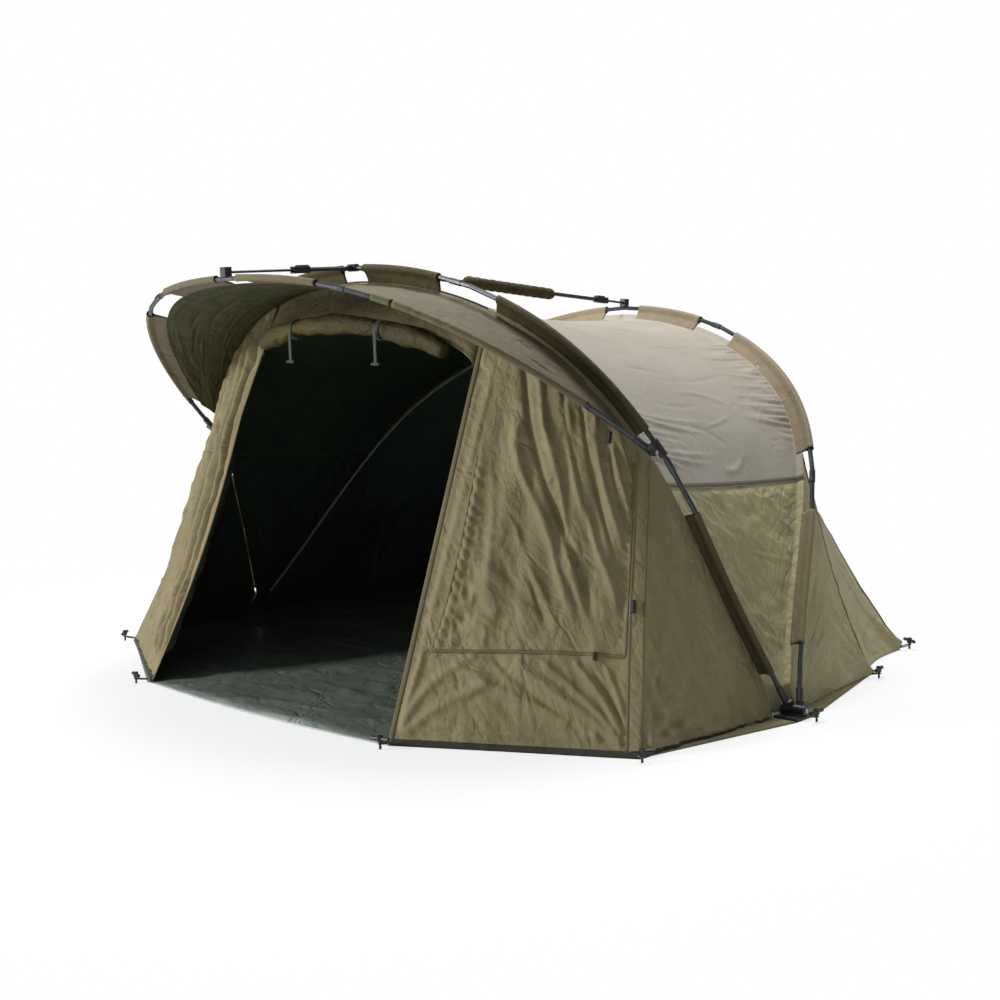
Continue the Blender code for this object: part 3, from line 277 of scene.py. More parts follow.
def makeWearGroup():
    # Fine grain over a moulded or drawn surface, with lighter scuffs where a broad noise is high.
    look = wearLook
    group, start, end = newGroup("wearFinish", (("Color", "Base"), ("Color", "Worn"), ("Float", "Grain")))
    broad = noiseNode(group, start["Place"], look["scuffScale"], 4.0, 0.65)
    scuff = fadeNode(group, broad, look["scuffLow"], look["scuffHigh"], curve="LINEAR")
    setInput(group, end["Colour"], mixColour(group, scuff, start["Base"], start["Worn"]))
    setInput(group, end["Height"], noiseNode(group, start["Place"], start["Grain"], 2.0, 0.5))
    rough = mathNode(group, "MULTIPLY_ADD", broad, look["roughSpread"], look["leastRough"])
    setInput(group, end["Rough"], rough)
    return group


# Each cloth: its light tone, its dark tone, how crumpled it is, and its sheen
finishes = {
    # The roof's own tone, made lighter and greyer with a painted reflection of the sky.
    "skyLitRoof": ((0.365, 0.330, 0.270), (0.305, 0.273, 0.217), 0.22, 0.15),
    "wallCloth": ((0.240, 0.199, 0.101), (0.165, 0.136, 0.068), 1.10, 0.02),
    "rearCloth": ((0.400, 0.360, 0.196), (0.305, 0.273, 0.144), 0.90, 0.05),
    "hoodCloth": ((0.132, 0.108, 0.055), (0.095, 0.078, 0.039), 0.60, 0.06),
    # Painted light and shade: one sleeve cloth in three copies, darkest on the front rib in its shade, lit on
    # the rear rib, and darker again low on the rear rib.
    "sleeveCloth": ((0.074, 0.058, 0.024), (0.050, 0.039, 0.015), 0.50, 0.00),
    "liningCloth": ((0.040, 0.060, 0.038), (0.024, 0.037, 0.023), 0.60, 0.00),
    # Painted shade: the hood's inner face is darkened for the shade under the hood.
    "hoodUndersideInShade": ((0.048, 0.048, 0.008), (0.022, 0.023, 0.004), 0.35, 0.00),
    # Painted shade: the rolled door's cloth is darkened for the shade under the hood, and the bar cover
    # shares it.
    "rollInShade": ((0.075, 0.060, 0.010), (0.026, 0.021, 0.004), 1.30, 0.00),
    # Painted light: the sleeve cloth as lit on the rear rib.
    "rearSleeveCloth": ((0.262, 0.210, 0.130), (0.205, 0.163, 0.098), 0.4, 0.06),
    # Painted shade: the rear rib's sleeves low down, darker than those above them.
    "lowSleeveCloth": ((0.200, 0.160, 0.086), (0.150, 0.120, 0.062), 0.40, 0.04),
    "greenCloth": ((0.120, 0.130, 0.038), (0.085, 0.094, 0.027), 0.40, 0.05),
    "trimWebbing": ((0.045, 0.050, 0.022), (0.022, 0.026, 0.012), 0.2, 0.1),
    "seamTape": ((0.130, 0.120, 0.075), (0.090, 0.083, 0.050), 0.2, 0.1),
    "stitchTape": ((0.150, 0.124, 0.062), (0.105, 0.086, 0.043), 0.20, 0.00),
    "darkTape": ((0.030, 0.030, 0.018), (0.016, 0.017, 0.010), 0.2, 0.1),
    "zipCoil": ((0.175, 0.145, 0.074), (0.130, 0.107, 0.053), 0.00, 0.00),
    "innerTape": ((0.500, 0.530, 0.470), (0.380, 0.410, 0.350), 0.10, 0.00),
    "greenCord": ((0.075, 0.120, 0.040), (0.045, 0.075, 0.022), 0.0, 0.1),
}
# Each hard finish: its colour, the colour of its scuffs, the scale of its grain, and how metallic it is
hardFinishes = {
    "poleAlloy": ((0.055, 0.056, 0.060), (0.120, 0.122, 0.128), 900.0, 0.8),
    "blackNylon": ((0.010, 0.010, 0.011), (0.030, 0.030, 0.032), 1200.0, 0.0),
    "steelPin": ((0.36, 0.36, 0.37), (0.48, 0.48, 0.49), 700.0, 1.0),
}
# The groundsheet's own tones, then the pale tone of the painted light in front of its doorway and where it
# fades in.
vinyl = {
    "light": (0.165, 0.195, 0.160), "dark": (0.105, 0.125, 0.100), "crumple": 0.7, "bump": (0.02, 0.55),
    "coat": 0.8, "coatRough": 0.22, "paintedLight": (0.52, 0.57, 0.53), "paintedLightFrom": -1.02, "paintedLightBy": -1.12,
}
materials = {}


def addMaterial(name, group, place, values, bump, sockets):
    # "values" go to the finish group, "bump" is a distance and a strength, "sockets" are the shader's own.
    material = bpy.data.materials.new(name)
    material.use_nodes = True
    tree = material.node_tree
    shader = tree.nodes["Principled BSDF"]
    coordinates = addNode(tree, "TexCoord").outputs[place]
    finish = addNode(tree, "Group", {"node_tree": group}, {"Place": coordinates, **values}).outputs
    relief = addNode(tree, "Bump", {}, {"Height": finish["Height"], "Distance": bump[0], "Strength": bump[1]})
    fed = {"Base Color": finish["Colour"], "Roughness": finish["Rough"], "Normal": relief.outputs["Normal"]}
    for label, value in {**fed, **sockets}.items():
        setInput(tree, shader.inputs[label], value)
    materials[name] = material
    return tree, shader


def makeMaterials():
    cloth, wear = makeClothGroup(), makeWearGroup()
    for name, (light, dark, crumple, sheen) in finishes.items():
        addMaterial(name, cloth, "UV", {"Light": light, "Dark": dark, "Crumple": crumple}, clothLook["bump"],
                    {"Sheen Weight": sheen, "Sheen Roughness": clothLook["sheenRough"],
                     "Specular IOR Level": clothLook["specular"]})
    for name, (base, worn, grain, metallic) in hardFinishes.items():
        addMaterial(name, wear, "Object", {"Base": base, "Worn": worn, "Grain": grain}, wearLook["bump"],
                    {"Metallic": metallic})
    # The groundsheet: glossy, creased as the cloth is, with painted light out in front of the doorway.
    tree, shader = addMaterial("floorVinyl", cloth, "UV", {
        "Light": vinyl["light"], "Dark": vinyl["dark"], "Crumple": vinyl["crumple"]}, vinyl["bump"],
        {"Coat Weight": vinyl["coat"], "Coat Roughness": vinyl["coatRough"]})
    # Painted light: the colour turns pale out in front of the doorway.
    place = addNode(tree, "TexCoord").outputs["Object"]
    forward = addNode(tree, "SeparateXYZ", {}, {0: place}).outputs["Y"]
    litShare = fadeNode(tree, forward, vinyl["paintedLightFrom"], vinyl["paintedLightBy"])
    own = shader.inputs["Base Color"].links[0].from_socket
    setInput(tree, shader.inputs["Base Color"], mixColour(tree, litShare, own, vinyl["paintedLight"]))


makeMaterials()
print("materials made:", len(materials))


# The three ribs, worked out from the same sizes as their poles

ribSizes = {
    "stations": 13, "fineSteps": 40, "hubHalfWidth": 1.5, "knuckle": 0.0198, "pinHeight": 0.030,
    "hingeShare": 0.400, "hingeReach": 0.030, "tangentReach": 0.015,
    # height, lean in degrees, and the half outline's knots as shares of half width and height
    "front": (1.600, 20.2, ((1, 0), (0.902, 0.323), (0.862, 0.477), (0.6447, 0.8006), (0, 1))),
    "rear": (1.649, -36.0, ((1, 0), (0.943, 0.151), (0.712, 0.707), (0.105, 0.994), (0, 1))),
    "peak": (0.965, 51.7, ((1, 0), (0.910, 0.284), (0.500, 0.876), (0, 1))),
}


def unit(vectors):
    return vectors / np.maximum(np.linalg.norm(vectors, axis=-1, keepdims=True), 1e-9)


def pathLength(points):
    # How far along a broken line each of its points lies.
    return np.concatenate([[0.0], np.cumsum(np.linalg.norm(np.diff(points, axis=0), axis=1))])


def naturalSpline(knots, count):
    # A cubic through the knots whose bend is zero at both ends, read at even steps of chord length.
    knots = np.array(knots, float)
    at = pathLength(knots)
    steps = np.diff(at)
    size = len(knots)
    system, right = np.eye(size), np.zeros((size, 2))
    for i in range(1, size - 1):
        system[i, i - 1 : i + 2] = steps[i - 1], 2 * (steps[i - 1] + steps[i]), steps[i]
        right[i] = 6 * ((knots[i + 1] - knots[i]) / steps[i] - (knots[i] - knots[i - 1]) / steps[i - 1])
    bend = np.linalg.solve(system, right)
    where = np.linspace(0, at[-1], count)
    i = np.clip(np.searchsorted(at, where, side="right") - 1, 0, size - 2)
    a = ((at[i + 1] - where) / steps[i])[:, None]
    b = 1 - a
    curve = (a**3 - a) * bend[i] + (b**3 - b) * bend[i + 1]
    return a * knots[i] + b * knots[i + 1] + curve * steps[i][:, None] ** 2 / 6


def makeRib(halfWidth, size, base):
    # The outline lies in a plane that leans about a line along X. A share is the length from the right
    # foot over the length of half the rib.
    height, lean, shares = size
    lean = math.radians(lean)
    half = [(halfWidth * a, height * b) for a, b in shares]
    knots = half + [(-x, s) for x, s in half[-2::-1]]
    stations = ribSizes["stations"]
    rise = np.array((0, -math.sin(lean), math.cos(lean)))
    coarse = pathLength(naturalSpline(knots, 2 * stations + 1))
    fine = naturalSpline(knots, ribSizes["fineSteps"] * stations + 1)
    along = np.linspace(0, 2 * stations, len(fine))
    shares = np.interp(along, np.arange(2 * stations + 1), coarse / coarse[stations])
    points = np.array(base) + fine[:, :1] * across + fine[:, 1:] * rise
    return {"shares": shares, "points": points, "rise": rise, "length": coarse[stations],
            "ahead": np.array((0, -math.cos(lean), -math.sin(lean)))}


def ribPoint(rib, share):
    return np.stack([np.interp(share, rib["shares"], rib["points"][:, i]) for i in range(3)], -1)


def ribInward(rib, share):
    # Square to the rib and in its plane, towards its middle.
    reach = ribSizes["tangentReach"]
    along = unit(ribPoint(rib, share + reach) - ribPoint(rib, share - reach))
    return unit(np.cross(np.broadcast_to(rib["ahead"], along.shape), along))


def inset(rib, share, depth, ahead=0.0):
    # A point of the rib, moved in by the depth and then forward.
    share = np.asarray(share, float)
    depth = np.asarray(depth, float)[..., None]
    return ribPoint(rib, share) + ribInward(rib, share) * depth + rib["ahead"] * ahead


def spanShare(start, u):
    # Shares from "start" to as far from the other foot, as u runs from 0 to 1.
    return start + (2 - 2 * start) * u


half, knuckle = ribSizes["hubHalfWidth"], ribSizes["knuckle"]
base = (0, 0, ribSizes["pinHeight"])
frontRib = makeRib(half - knuckle, ribSizes["front"], base)
rearRib = makeRib(half + knuckle, ribSizes["rear"], base)
hinge = ribPoint(frontRib, np.array(ribSizes["hingeShare"])) + frontRib["ahead"] * ribSizes["hingeReach"]
peakRib = makeRib(hinge[0], ribSizes["peak"], (0, hinge[1], hinge[2]))


# Meshes from grids

clothMake = {"thickness": 0.0014, "tapeThickness": 0.0012, "tapeLift": 0.0016, "tapeCrown": 0.0012,
             "tapeStep": 0.006, "tapeColumns": 5}


def gridQuads(index):
    return np.stack([index[:-1, :-1], index[:-1, 1:], index[1:, 1:], index[1:, :-1]], -1).reshape(-1, 4)


def turnOut(vertices, quads, centres):
    # Turns all quads over if, taken together, they look towards the centres. A quad's normal is the
    # cross product of its diagonals.
    a, b, c, d = vertices[quads].transpose(1, 0, 2)
    flip = (np.cross(c - a, d - b) * ((a + c) / 2 - centres)).sum() < 0
    return (quads[:, ::-1] if flip else quads), flip


def newPiece(name, vertices, faces, names):
    mesh = bpy.data.meshes.new(name)
    mesh.from_pydata(vertices.tolist(), [], faces)
    for finish in names:
        mesh.materials.append(materials[finish])
    mesh.shade_smooth()
    mesh.update()
    piece = bpy.data.objects.new(name, mesh)
    bpy.context.scene.collection.objects.link(piece)
    return piece


def addUv(piece, points, uv=None):
    # Without a map of its own the grid gets metres along its middle line and across its middle row.
    if uv is None:
        along, sideways = pathLength(points.mean(axis=1)), pathLength(points[len(points) // 2])
        uv = np.stack(np.meshgrid(along, sideways, indexing="ij"), -1)
    mesh = piece.data
    flat = np.zeros((len(mesh.vertices), 2), np.float32)
    flat[: points.shape[0] * points.shape[1]] = uv.reshape(-1, 2)
    corners = np.zeros(len(mesh.loops), np.int32)
    mesh.loops.foreach_get("vertex_index", corners)
    mesh.uv_layers.new(name="UVMap").data.foreach_set("uv", flat[corners].ravel())


def layCloth(name, points, finish, uv=None, outFrom=(0, 0, 0.5), lining=None,
             thickness=clothMake["thickness"]):
    # Rows and columns of points become a sheet that looks away from "outFrom", half its thickness to
    # each side, with the lining on its inner face.
    index = np.arange(points.shape[0] * points.shape[1]).reshape(points.shape[:2])
    quads, _ = turnOut(points.reshape(-1, 3), gridQuads(index), np.array(outFrom))
    piece = newPiece(name, points.reshape(-1, 3), quads.tolist(), [finish, lining] if lining else [finish])
    addUv(piece, points, uv)
    solid = piece.modifiers.new("cloth", "SOLIDIFY")
    solid.thickness = thickness
    solid.offset = 0.0
    solid.material_offset = 1 if lining else 0
    return piece


def addTube(name, points, finish, ring=False):
    # Each row of points is one turn of a tube. A "ring" goes on from its last row to its first;
    # otherwise a fan round its middle closes each end.
    rows, columns = points.shape[:2]
    flat = points.reshape(-1, 3)
    index = np.arange(rows * columns).reshape(rows, columns)
    index = np.concatenate([index, index[:, :1]], axis=1)
    if ring:
        index = np.concatenate([index, index[:1]])
    centres = np.repeat(points.mean(axis=1), columns, axis=0)[: (len(index) - 1) * columns]
    quads, flip = turnOut(flat, gridQuads(index), centres)
    faces = quads.tolist()
    if not ring:
        flat = np.concatenate([flat, points[:1].mean(axis=1), points[-1:].mean(axis=1)])
        for row, tip, turn in ((index[0], rows * columns, not flip), (index[-1], rows * columns + 1, flip)):
            fan = np.stack([row[:-1], row[1:], np.full(columns, tip)], -1)
            faces += (fan[:, ::-1] if turn else fan).tolist()
    piece = newPiece(name, flat, faces, [finish])
    if not ring:
        addUv(piece, points)
    return piece


def gridOf(rows, columns):
    return np.meshgrid(np.linspace(0, 1, rows), np.linspace(0, 1, columns), indexing="ij")


def smoothStep(value, low, high):
    t = np.clip((value - low) / (high - low), 0, 1)
    return t * t * (3 - 2 * t)


def bell(value, middle, width):
    return np.exp(-(((value - middle) / width) ** 2))


def softNoise(a, b, cell, seed):
    # Random heights at the corners of square cells, joined by a smooth step across each cell. The table
    # of heights repeats after its own size.
    size = 64
    table = np.random.default_rng(seed).uniform(-1, 1, (size, size))
    a, b = np.asarray(a) / cell, np.asarray(b) / cell
    i, j = np.floor(a).astype(int), np.floor(b).astype(int)
    s, t = a - i, b - j
    s, t = s * s * (3 - 2 * s), t * t * (3 - 2 * t)
    near = table[i % size, j % size] * (1 - s) + table[(i + 1) % size, j % size] * s
    far = table[i % size, (j + 1) % size] * (1 - s) + table[(i + 1) % size, (j + 1) % size] * s
    return near * (1 - t) + far * t


def crumples(a, b, cell, seed):
    # Ridges where a warped noise crosses zero, so that flat facets meet in soft creases.
    warpA = a + softNoise(a, b, cell * 1.7, seed + 1) * cell * 0.6
    warpB = b + softNoise(a, b, cell * 1.7, seed + 2) * cell * 0.6
    return (1 - np.abs(softNoise(warpA, warpB, cell, seed)) * 1.6) - 0.4


def crumpled(a, b, layers, seed=0):
    # A sum of crumples. Each layer: how a and b are stretched, the cell, the seed and the height.
    return sum(crumples(a * alongA, b * alongB, cell, seed + own) * height
               for alongA, alongB, cell, own, height in layers)


def foldAlong(a, b, marks, width, height, fade=(0.15, 0.2)):
    # A ridge along a smooth line through the marks: its height falls off as a bell with the distance
    # from the line, rises over the first part of its length and dies away over the last.
    marks = np.array(marks, float)
    marks = naturalSpline(marks, 5 * len(marks)) if len(marks) > 2 else marks
    starts = pathLength(marks)
    nearest, at = np.full(a.shape, 1e3), np.zeros(a.shape)
    for p, q, start, length in zip(marks[:-1], marks[1:], starts, np.diff(starts)):
        step = (q - p) / length
        t = np.clip((a - p[0]) * step[0] + (b - p[1]) * step[1], 0, length)
        gap = np.hypot(a - p[0] - t * step[0], b - p[1] - t * step[1])
        closer = gap < nearest
        nearest, at = np.where(closer, gap, nearest), np.where(closer, start + t, at)
    along = at / starts[-1]
    rise = smoothStep(along, 0, fade[0]) if fade[0] > 0 else 1
    fall = 1 - smoothStep(along, 1 - fade[1], 1) if fade[1] > 0 else 1
    return height * bell(nearest, 0, width) * rise * fall


def outwardNormals(points, outFrom):
    normals = unit(np.cross(np.gradient(points, axis=0), np.gradient(points, axis=1)))
    return normals * np.sign((normals * (points - np.array(outFrom))).sum())


def readGrid(grid, u, v):
    # The grid's value at fractional places, from the four points round each.
    rows, columns = grid.shape[0] - 1, grid.shape[1] - 1
    x, y = np.clip(u, 0, 1) * rows, np.clip(v, 0, 1) * columns
    i, j = np.minimum(x.astype(int), rows - 1), np.minimum(y.astype(int), columns - 1)
    s, t = (x - i)[..., None], (y - j)[..., None]
    return ((grid[i, j] * (1 - s) + grid[i + 1, j] * s) * (1 - t)
            + (grid[i, j + 1] * (1 - s) + grid[i + 1, j + 1] * s) * t)


def alongLine(corners, marks, shares):
    # A broken line whose corners stand at the given marks.
    corners = np.array(corners, float)
    return np.stack([np.interp(shares, marks, corners[:, i]) for i in range(corners.shape[1])], -1)


def makeTape(name, grid, outFrom, marks, width, finish):
    # A narrow strip that follows a line of (u, v) marks over a cloth grid, a little proud of it and
    # crowned across as a parabola.
    marks = np.array(marks, float)
    at = pathLength(readGrid(grid, marks[:, 0], marks[:, 1]))
    where = np.linspace(0, at[-1], max(6, int(at[-1] / clothMake["tapeStep"])))
    u, v = np.interp(where, at, marks[:, 0]), np.interp(where, at, marks[:, 1])
    middle, out = readGrid(grid, u, v), unit(readGrid(outwardNormals(grid, outFrom), u, v))
    side = unit(np.cross(out, unit(np.gradient(middle, axis=0))))
    sideways = np.linspace(-0.5, 0.5, clothMake["tapeColumns"])
    proud = clothMake["tapeLift"] + clothMake["tapeCrown"] * (1 - (2 * sideways) ** 2)
    points = (middle[:, None] + side[:, None] * (sideways * width)[None, :, None]
              + out[:, None] * proud[None, :, None])
    uv = np.stack(np.broadcast_arrays(where[:, None], (sideways * width)[None] + width / 2), -1)
    piece = layCloth(name, points, finish, uv, outFrom, thickness=clothMake["tapeThickness"])
    return piece, points


def turnWith(piece, shares):
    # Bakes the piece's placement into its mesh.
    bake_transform(piece)
    shares = np.ascontiguousarray(shares, np.float32).ravel()


# Ground plan: the corners that are pegged down, right-hand side

plan = {
    "hub": (1.546, 0.0525), "hubSeam": (1.462, 0.070), "door": (0.693, -1.074), "corner": (1.402, -0.683),
    "side": (1.399, 0.633), "rear": (1.266, 1.098), "clothFoot": 0.0012, "doorFootLeft": 0.660,
}

# Roof and side panels: one surface between the front and rear ribs, cut at a seam

roof = {
    "edgeDepth": 0.060, "sag": 0.055, "seamShares": (0.345, 0.372), "seamLap": 0.005, "hemShare": 0.040,
    "rows": 380, "columns": 124, "sideGrid": 120, "halfLength": 2.45, "depth": 1.5, "sideDepth": 1.2,
    "lapFront": 0.008, "lapRear": 0.026, "lapShare": 0.02, "tapeWidth": 0.015, "tapeMarks": 60,
    "tapeIn": 0.004, "footX": 1.402, "footFlare": 0.060, "footY": 0.070, "footRows": 0.10, "seamDip": 0.0030,
    "foldHeight": 1.7, "fineHeight": 1.3, "fine": ((1, 0.6, 0.15, 5, 0.0014), (1, 1, 0.06, 9, 0.0007)),
}
roofFolds = {
    "seed": 11,
    "rearFan": {"starts": (0.455, 0.735, 0.0135), "edge": 1.49, "reach": (0.10, 0.40), "lean": (0.06, 0.30),
                "width": (0.009, 0.015), "height": (0.003, 0.009), "fade": (0, 0.85)},
    "frontFan": {"starts": (0.47, 0.97, 0.027), "lean": (-0.05, 0.02), "reach": (0.07, 0.26),
                 "width": (0.008, 0.014), "height": (0.001, 0.0035), "fade": (0, 0.8)},
    "long": {"count": 44, "start": (0.9, 3.9), "low": (0.05, 1.1), "step": 0.16, "drift": (-0.05, 0.05),
             "endDrift": (-0.12, 0.12), "reach": (0.24, 0.5), "width": (0.007, 0.016),
             "height": (-0.0028, 0.003), "fade": (0.4, 0.5)},
    "hinge": {"count": 9, "start": 0.40, "step": 0.028, "drift": (-0.05, 0.02), "reach": (0.4, 1.0),
              "width": 0.010, "height": (0.002, 0.005), "fade": (0.05, 0.6)},
    "top": {"starts": (0.865, 0.90), "marks": ((0, 0.30), (0.02, 0.62), (-0.01, 1.02)), "width": 0.012,
            "height": -0.005, "fade": (0.3, 0.4)},
}
sideFolds = {
    "crumples": ((1.3, 1, 0.11, 0, 0.0055), (1, 1.4, 0.055, 4, 0.0030), (1, 1, 0.026, 8, 0.0010)),
    "swell": (0.2, 6, 0.004), "count": 26, "across": (0.1, 0.9), "start": (0.0, 0.6), "lean": (0.0, 0.2),
    "reach": (0.15, 0.5), "width": (0.005, 0.010), "height": (-0.003, 0.004), "fade": (0.3, 0.5),
}


def shellPoints(share, place):
    # Straight rulings from rib to rib, drawn inwards between them by a sag that is a parabola from rib
    # to rib and nil at the hubs. Past both edges the cloth turns up into the ribs' planes, where the
    # sleeves hold it.
    v = np.clip(place, 0, 1)
    pastFront = np.clip(-place, 0, 1) / roof["lapShare"]
    pastRear = np.clip(place - 1, 0, 1) / roof["lapShare"]
    front = inset(frontRib, share, roof["edgeDepth"] - roof["lapFront"] * pastFront)
    rear = inset(rearRib, share, roof["edgeDepth"] - roof["lapRear"] * pastRear)
    inward = unit(ribInward(frontRib, share) + ribInward(rearRib, share))
    sag = roof["sag"] * 4 * v * (1 - v) * np.sin(np.pi * np.clip(share / 2, 0, 1)) ** 0.5
    return front + (rear - front) * v[..., None] + inward * sag[..., None]


def withLaps(v):
    return v * (1 + 2 * roof["lapShare"]) - roof["lapShare"]


def roofRelief(share, v):
    # Fans of puckers off the rear sleeves, shorter ones off the front, long creases from rib to rib, a
    # gathering above the seam by the hinge, and two hollows on the near side of the top; a is metres
    # round the ribs and b metres from rib to rib.
    length = roof["halfLength"]
    a, b = share * length, v * roof["depth"]
    mirrored = np.where(share > 1, 2 - share, share) * length
    pick = np.random.default_rng(roofFolds["seed"]).uniform
    total = np.zeros(share.shape)
    fan = roofFolds["rearFan"]
    for start in np.arange(*fan["starts"]) * length:
        reach, lean = pick(*fan["reach"]), pick(*fan["lean"])
        marks = [(start, fan["edge"]), (start + reach * lean * 0.4, fan["edge"] - reach * 0.5),
                 (start + reach * lean, fan["edge"] - reach)]
        total += foldAlong(mirrored, b, marks, pick(*fan["width"]), pick(*fan["height"]), fan["fade"])
    fan = roofFolds["frontFan"]
    for start in np.arange(*fan["starts"]) * length:
        marks = [(start, 0.0), (start + pick(*fan["lean"]), pick(*fan["reach"]))]
        total += foldAlong(mirrored, b, marks, pick(*fan["width"]), pick(*fan["height"]), fan["fade"])
    fan = roofFolds["long"]
    for _ in range(fan["count"]):
        start, low = pick(*fan["start"]), pick(*fan["low"])
        marks = [(start, low), (start + pick(*fan["drift"]), low + fan["step"]),
                 (start + pick(*fan["endDrift"]), low + pick(*fan["reach"]))]
        total += foldAlong(a, b, marks, pick(*fan["width"]), pick(*fan["height"]), fan["fade"])
    fan = roofFolds["hinge"]
    for number in range(fan["count"]):
        start = fan["start"] * length + number * fan["step"]
        marks = [(start, 0.02), (start - 0.02, 0.25), (start + pick(*fan["drift"]), pick(*fan["reach"]))]
        total += foldAlong(mirrored, b, marks, fan["width"], pick(*fan["height"]), fan["fade"])
    fan = roofFolds["top"]
    for start in fan["starts"]:
        marks = [(start * length + drift, low) for drift, low in fan["marks"]]
        total += foldAlong(a, b, marks, fan["width"], fan["height"], fan["fade"])
    edge = smoothStep(v, -0.02, 0.03) * (1 - smoothStep(v, 0.99, 1.0))
    fine = crumpled(a, b, roof["fine"]) * smoothStep(v, 0, 0.05)
    return (roof["foldHeight"] * total + roof["fineHeight"] * fine) * edge


def sideRelief(share, v, seed):
    # Crumples of three sizes, a broad swell, and short folds at random places and slants.
    a, b = share * roof["halfLength"], v * 1.3 * np.clip(share / 0.35, 0.15, 1)
    pick = np.random.default_rng(seed).uniform
    cell, own, height = sideFolds["swell"]
    total = crumpled(a, b, sideFolds["crumples"], seed) + softNoise(a, b, cell, seed + own) * height
    for _ in range(sideFolds["count"]):
        at, start = pick(*sideFolds["across"]), pick(*sideFolds["start"])
        marks = [(at, start), (at - pick(*sideFolds["lean"]), start + pick(*sideFolds["reach"]))]
        width, height = pick(*sideFolds["width"]), pick(*sideFolds["height"])
        total += foldAlong(a, b, marks, width, height, sideFolds["fade"])
    return total * smoothStep(v, 0, 0.05) * (1 - smoothStep(v, 0.95, 1))


def sidePoints(v, u, share, seed):
    # The shell's surface with its relief, whose lowest rows hang from the hem down to a flared foot line.
    foot = roof["footRows"]
    relief = sideRelief(share, v, seed) * smoothStep(u, foot, foot + 0.2) * (1 - smoothStep(u, 0.93, 0.98))
    relief -= roof["seamDip"] * smoothStep(u, 0.95, 0.99)
    smooth = shellPoints(np.maximum(share, roof["hemShare"]) + (u - 0.5) * 0.02, v)
    points = shellPoints(share, v) + outwardNormals(smooth, (0, 0, 0.4)) * relief[..., None]
    flare = roof["footX"] + roof["footFlare"] * (2 * v - 1) ** 2
    ground = np.stack([flare, roof["footY"] * (2 * v - 1), np.full(v.shape, plan["clothFoot"])], -1)
    hang = np.clip(1 - u / foot, 0, 1)[..., None]
    return points * (1 - hang) + ground * hang


def makeShell():
    # The roof runs from seam to seam over the top; each side panel from its hem up to the seam.
    seamFront, seamRear = roof["seamShares"]
    outFrom = (0, 0, 0.4)
    u, v = gridOf(roof["rows"], roof["columns"])
    v = withLaps(v)
    share = spanShare(seamFront + (seamRear - seamFront) * v, u)
    points = shellPoints(share, v)
    points += outwardNormals(points, outFrom) * roofRelief(share, v)[..., None]
    top = layCloth("roof_skin", points, "skyLitRoof",
                   np.stack([share * roof["halfLength"], v * roof["depth"]], -1), outFrom, "liningCloth")
    made = [(top, points, v)]
    for side, mirror, seed in (("right", 1, 21), ("left", -1, 51)):
        u, v = gridOf(roof["sideGrid"], roof["sideGrid"])
        v = withLaps(v)
        low = seamFront + (seamRear - seamFront) * v + roof["seamLap"]
        foot = roof["footRows"]
        share = roof["hemShare"] + (low - roof["hemShare"]) * np.clip((u - foot) / (1 - foot), 0, 1)
        panel = sidePoints(v, u, share, seed) * (mirror, 1, 1)
        uv = np.stack([share * roof["halfLength"], v * roof["sideDepth"]], -1)
        piece = layCloth("side_panel_" + side, panel, "rearCloth", uv, outFrom, "liningCloth")
        made.append((piece, panel, v))
        t = np.linspace(0, 1, roof["tapeMarks"])
        tape, grid = makeTape("seam_tape_" + side, points[::mirror], outFrom,
                              np.stack([t * 0 + roof["tapeIn"], t], -1), roof["tapeWidth"], "seamTape")
        share = np.repeat(withLaps(np.linspace(0, 1, grid.shape[0]))[:, None], grid.shape[1], 1)
        turnWith(tape, 1 - np.clip(share, 0, 1))
    for piece, grid, v in made:
        turnWith(piece, 1 - np.clip(v, 0, 1))
    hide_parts("roof_canopy")


makeShell()
print("roof and side panels made")

# Sleeves that hold the cloth to the poles: a round pocket on a flat web

sleeves = {
    "radius": 0.0112, "wrap": 0.62, "depth": 0.0615, "shortDepth": 0.038, "neck": 0.024, "rootHalf": 0.0014,
    "webHalf": 0.0026, "thickness": 0.0010, "step": 0.010, "reachOver": 0.002, "mouth": 0.12,
    "mouthLength": 0.008, "seed": 30, "broad": (0.06, 0.0016), "narrow": (0.022, 0.0008), "uvAcross": 0.15,
    "front": ((0.055, 0.300), (0.430, 0.713), (0.822, 0.975)),
    "rear": ((0.100, 0.312), (0.422, 0.727), (0.818, 0.962)),
    "peak": ((0.165, 0.574), (0.745, 0.965)), "greenStrip": (0.578, 0.618),
}


def sleeveProfile():
    # Round the pole, then in along both flanks to a web that narrows a little towards the seam.
    radius, neck, root, web = sleeves["radius"], sleeves["neck"], sleeves["rootHalf"], sleeves["webHalf"]
    arc = np.linspace(-sleeves["wrap"], math.pi + sleeves["wrap"], 17)
    ring = np.stack([radius * np.cos(arc), radius * np.sin(arc)], -1)
    t = np.linspace(0, 1, 5)[1:]
    taper = np.stack([ring[0, 0] + (web - ring[0, 0]) * smoothStep(t, 0, 1),
                      ring[0, 1] + (-neck - ring[0, 1]) * t], -1)
    t = np.linspace(0, 1, 7)[1:]
    flank = np.stack([web + (root - web) * t, -neck - (sleeves["depth"] - neck) * t], -1)
    right = np.concatenate([taper, flank])[::-1]
    return np.concatenate([right, ring, right[::-1] * (-1, 1)])


def edgeAt(depth):
    return lambda rib, share: inset(rib, share, depth)


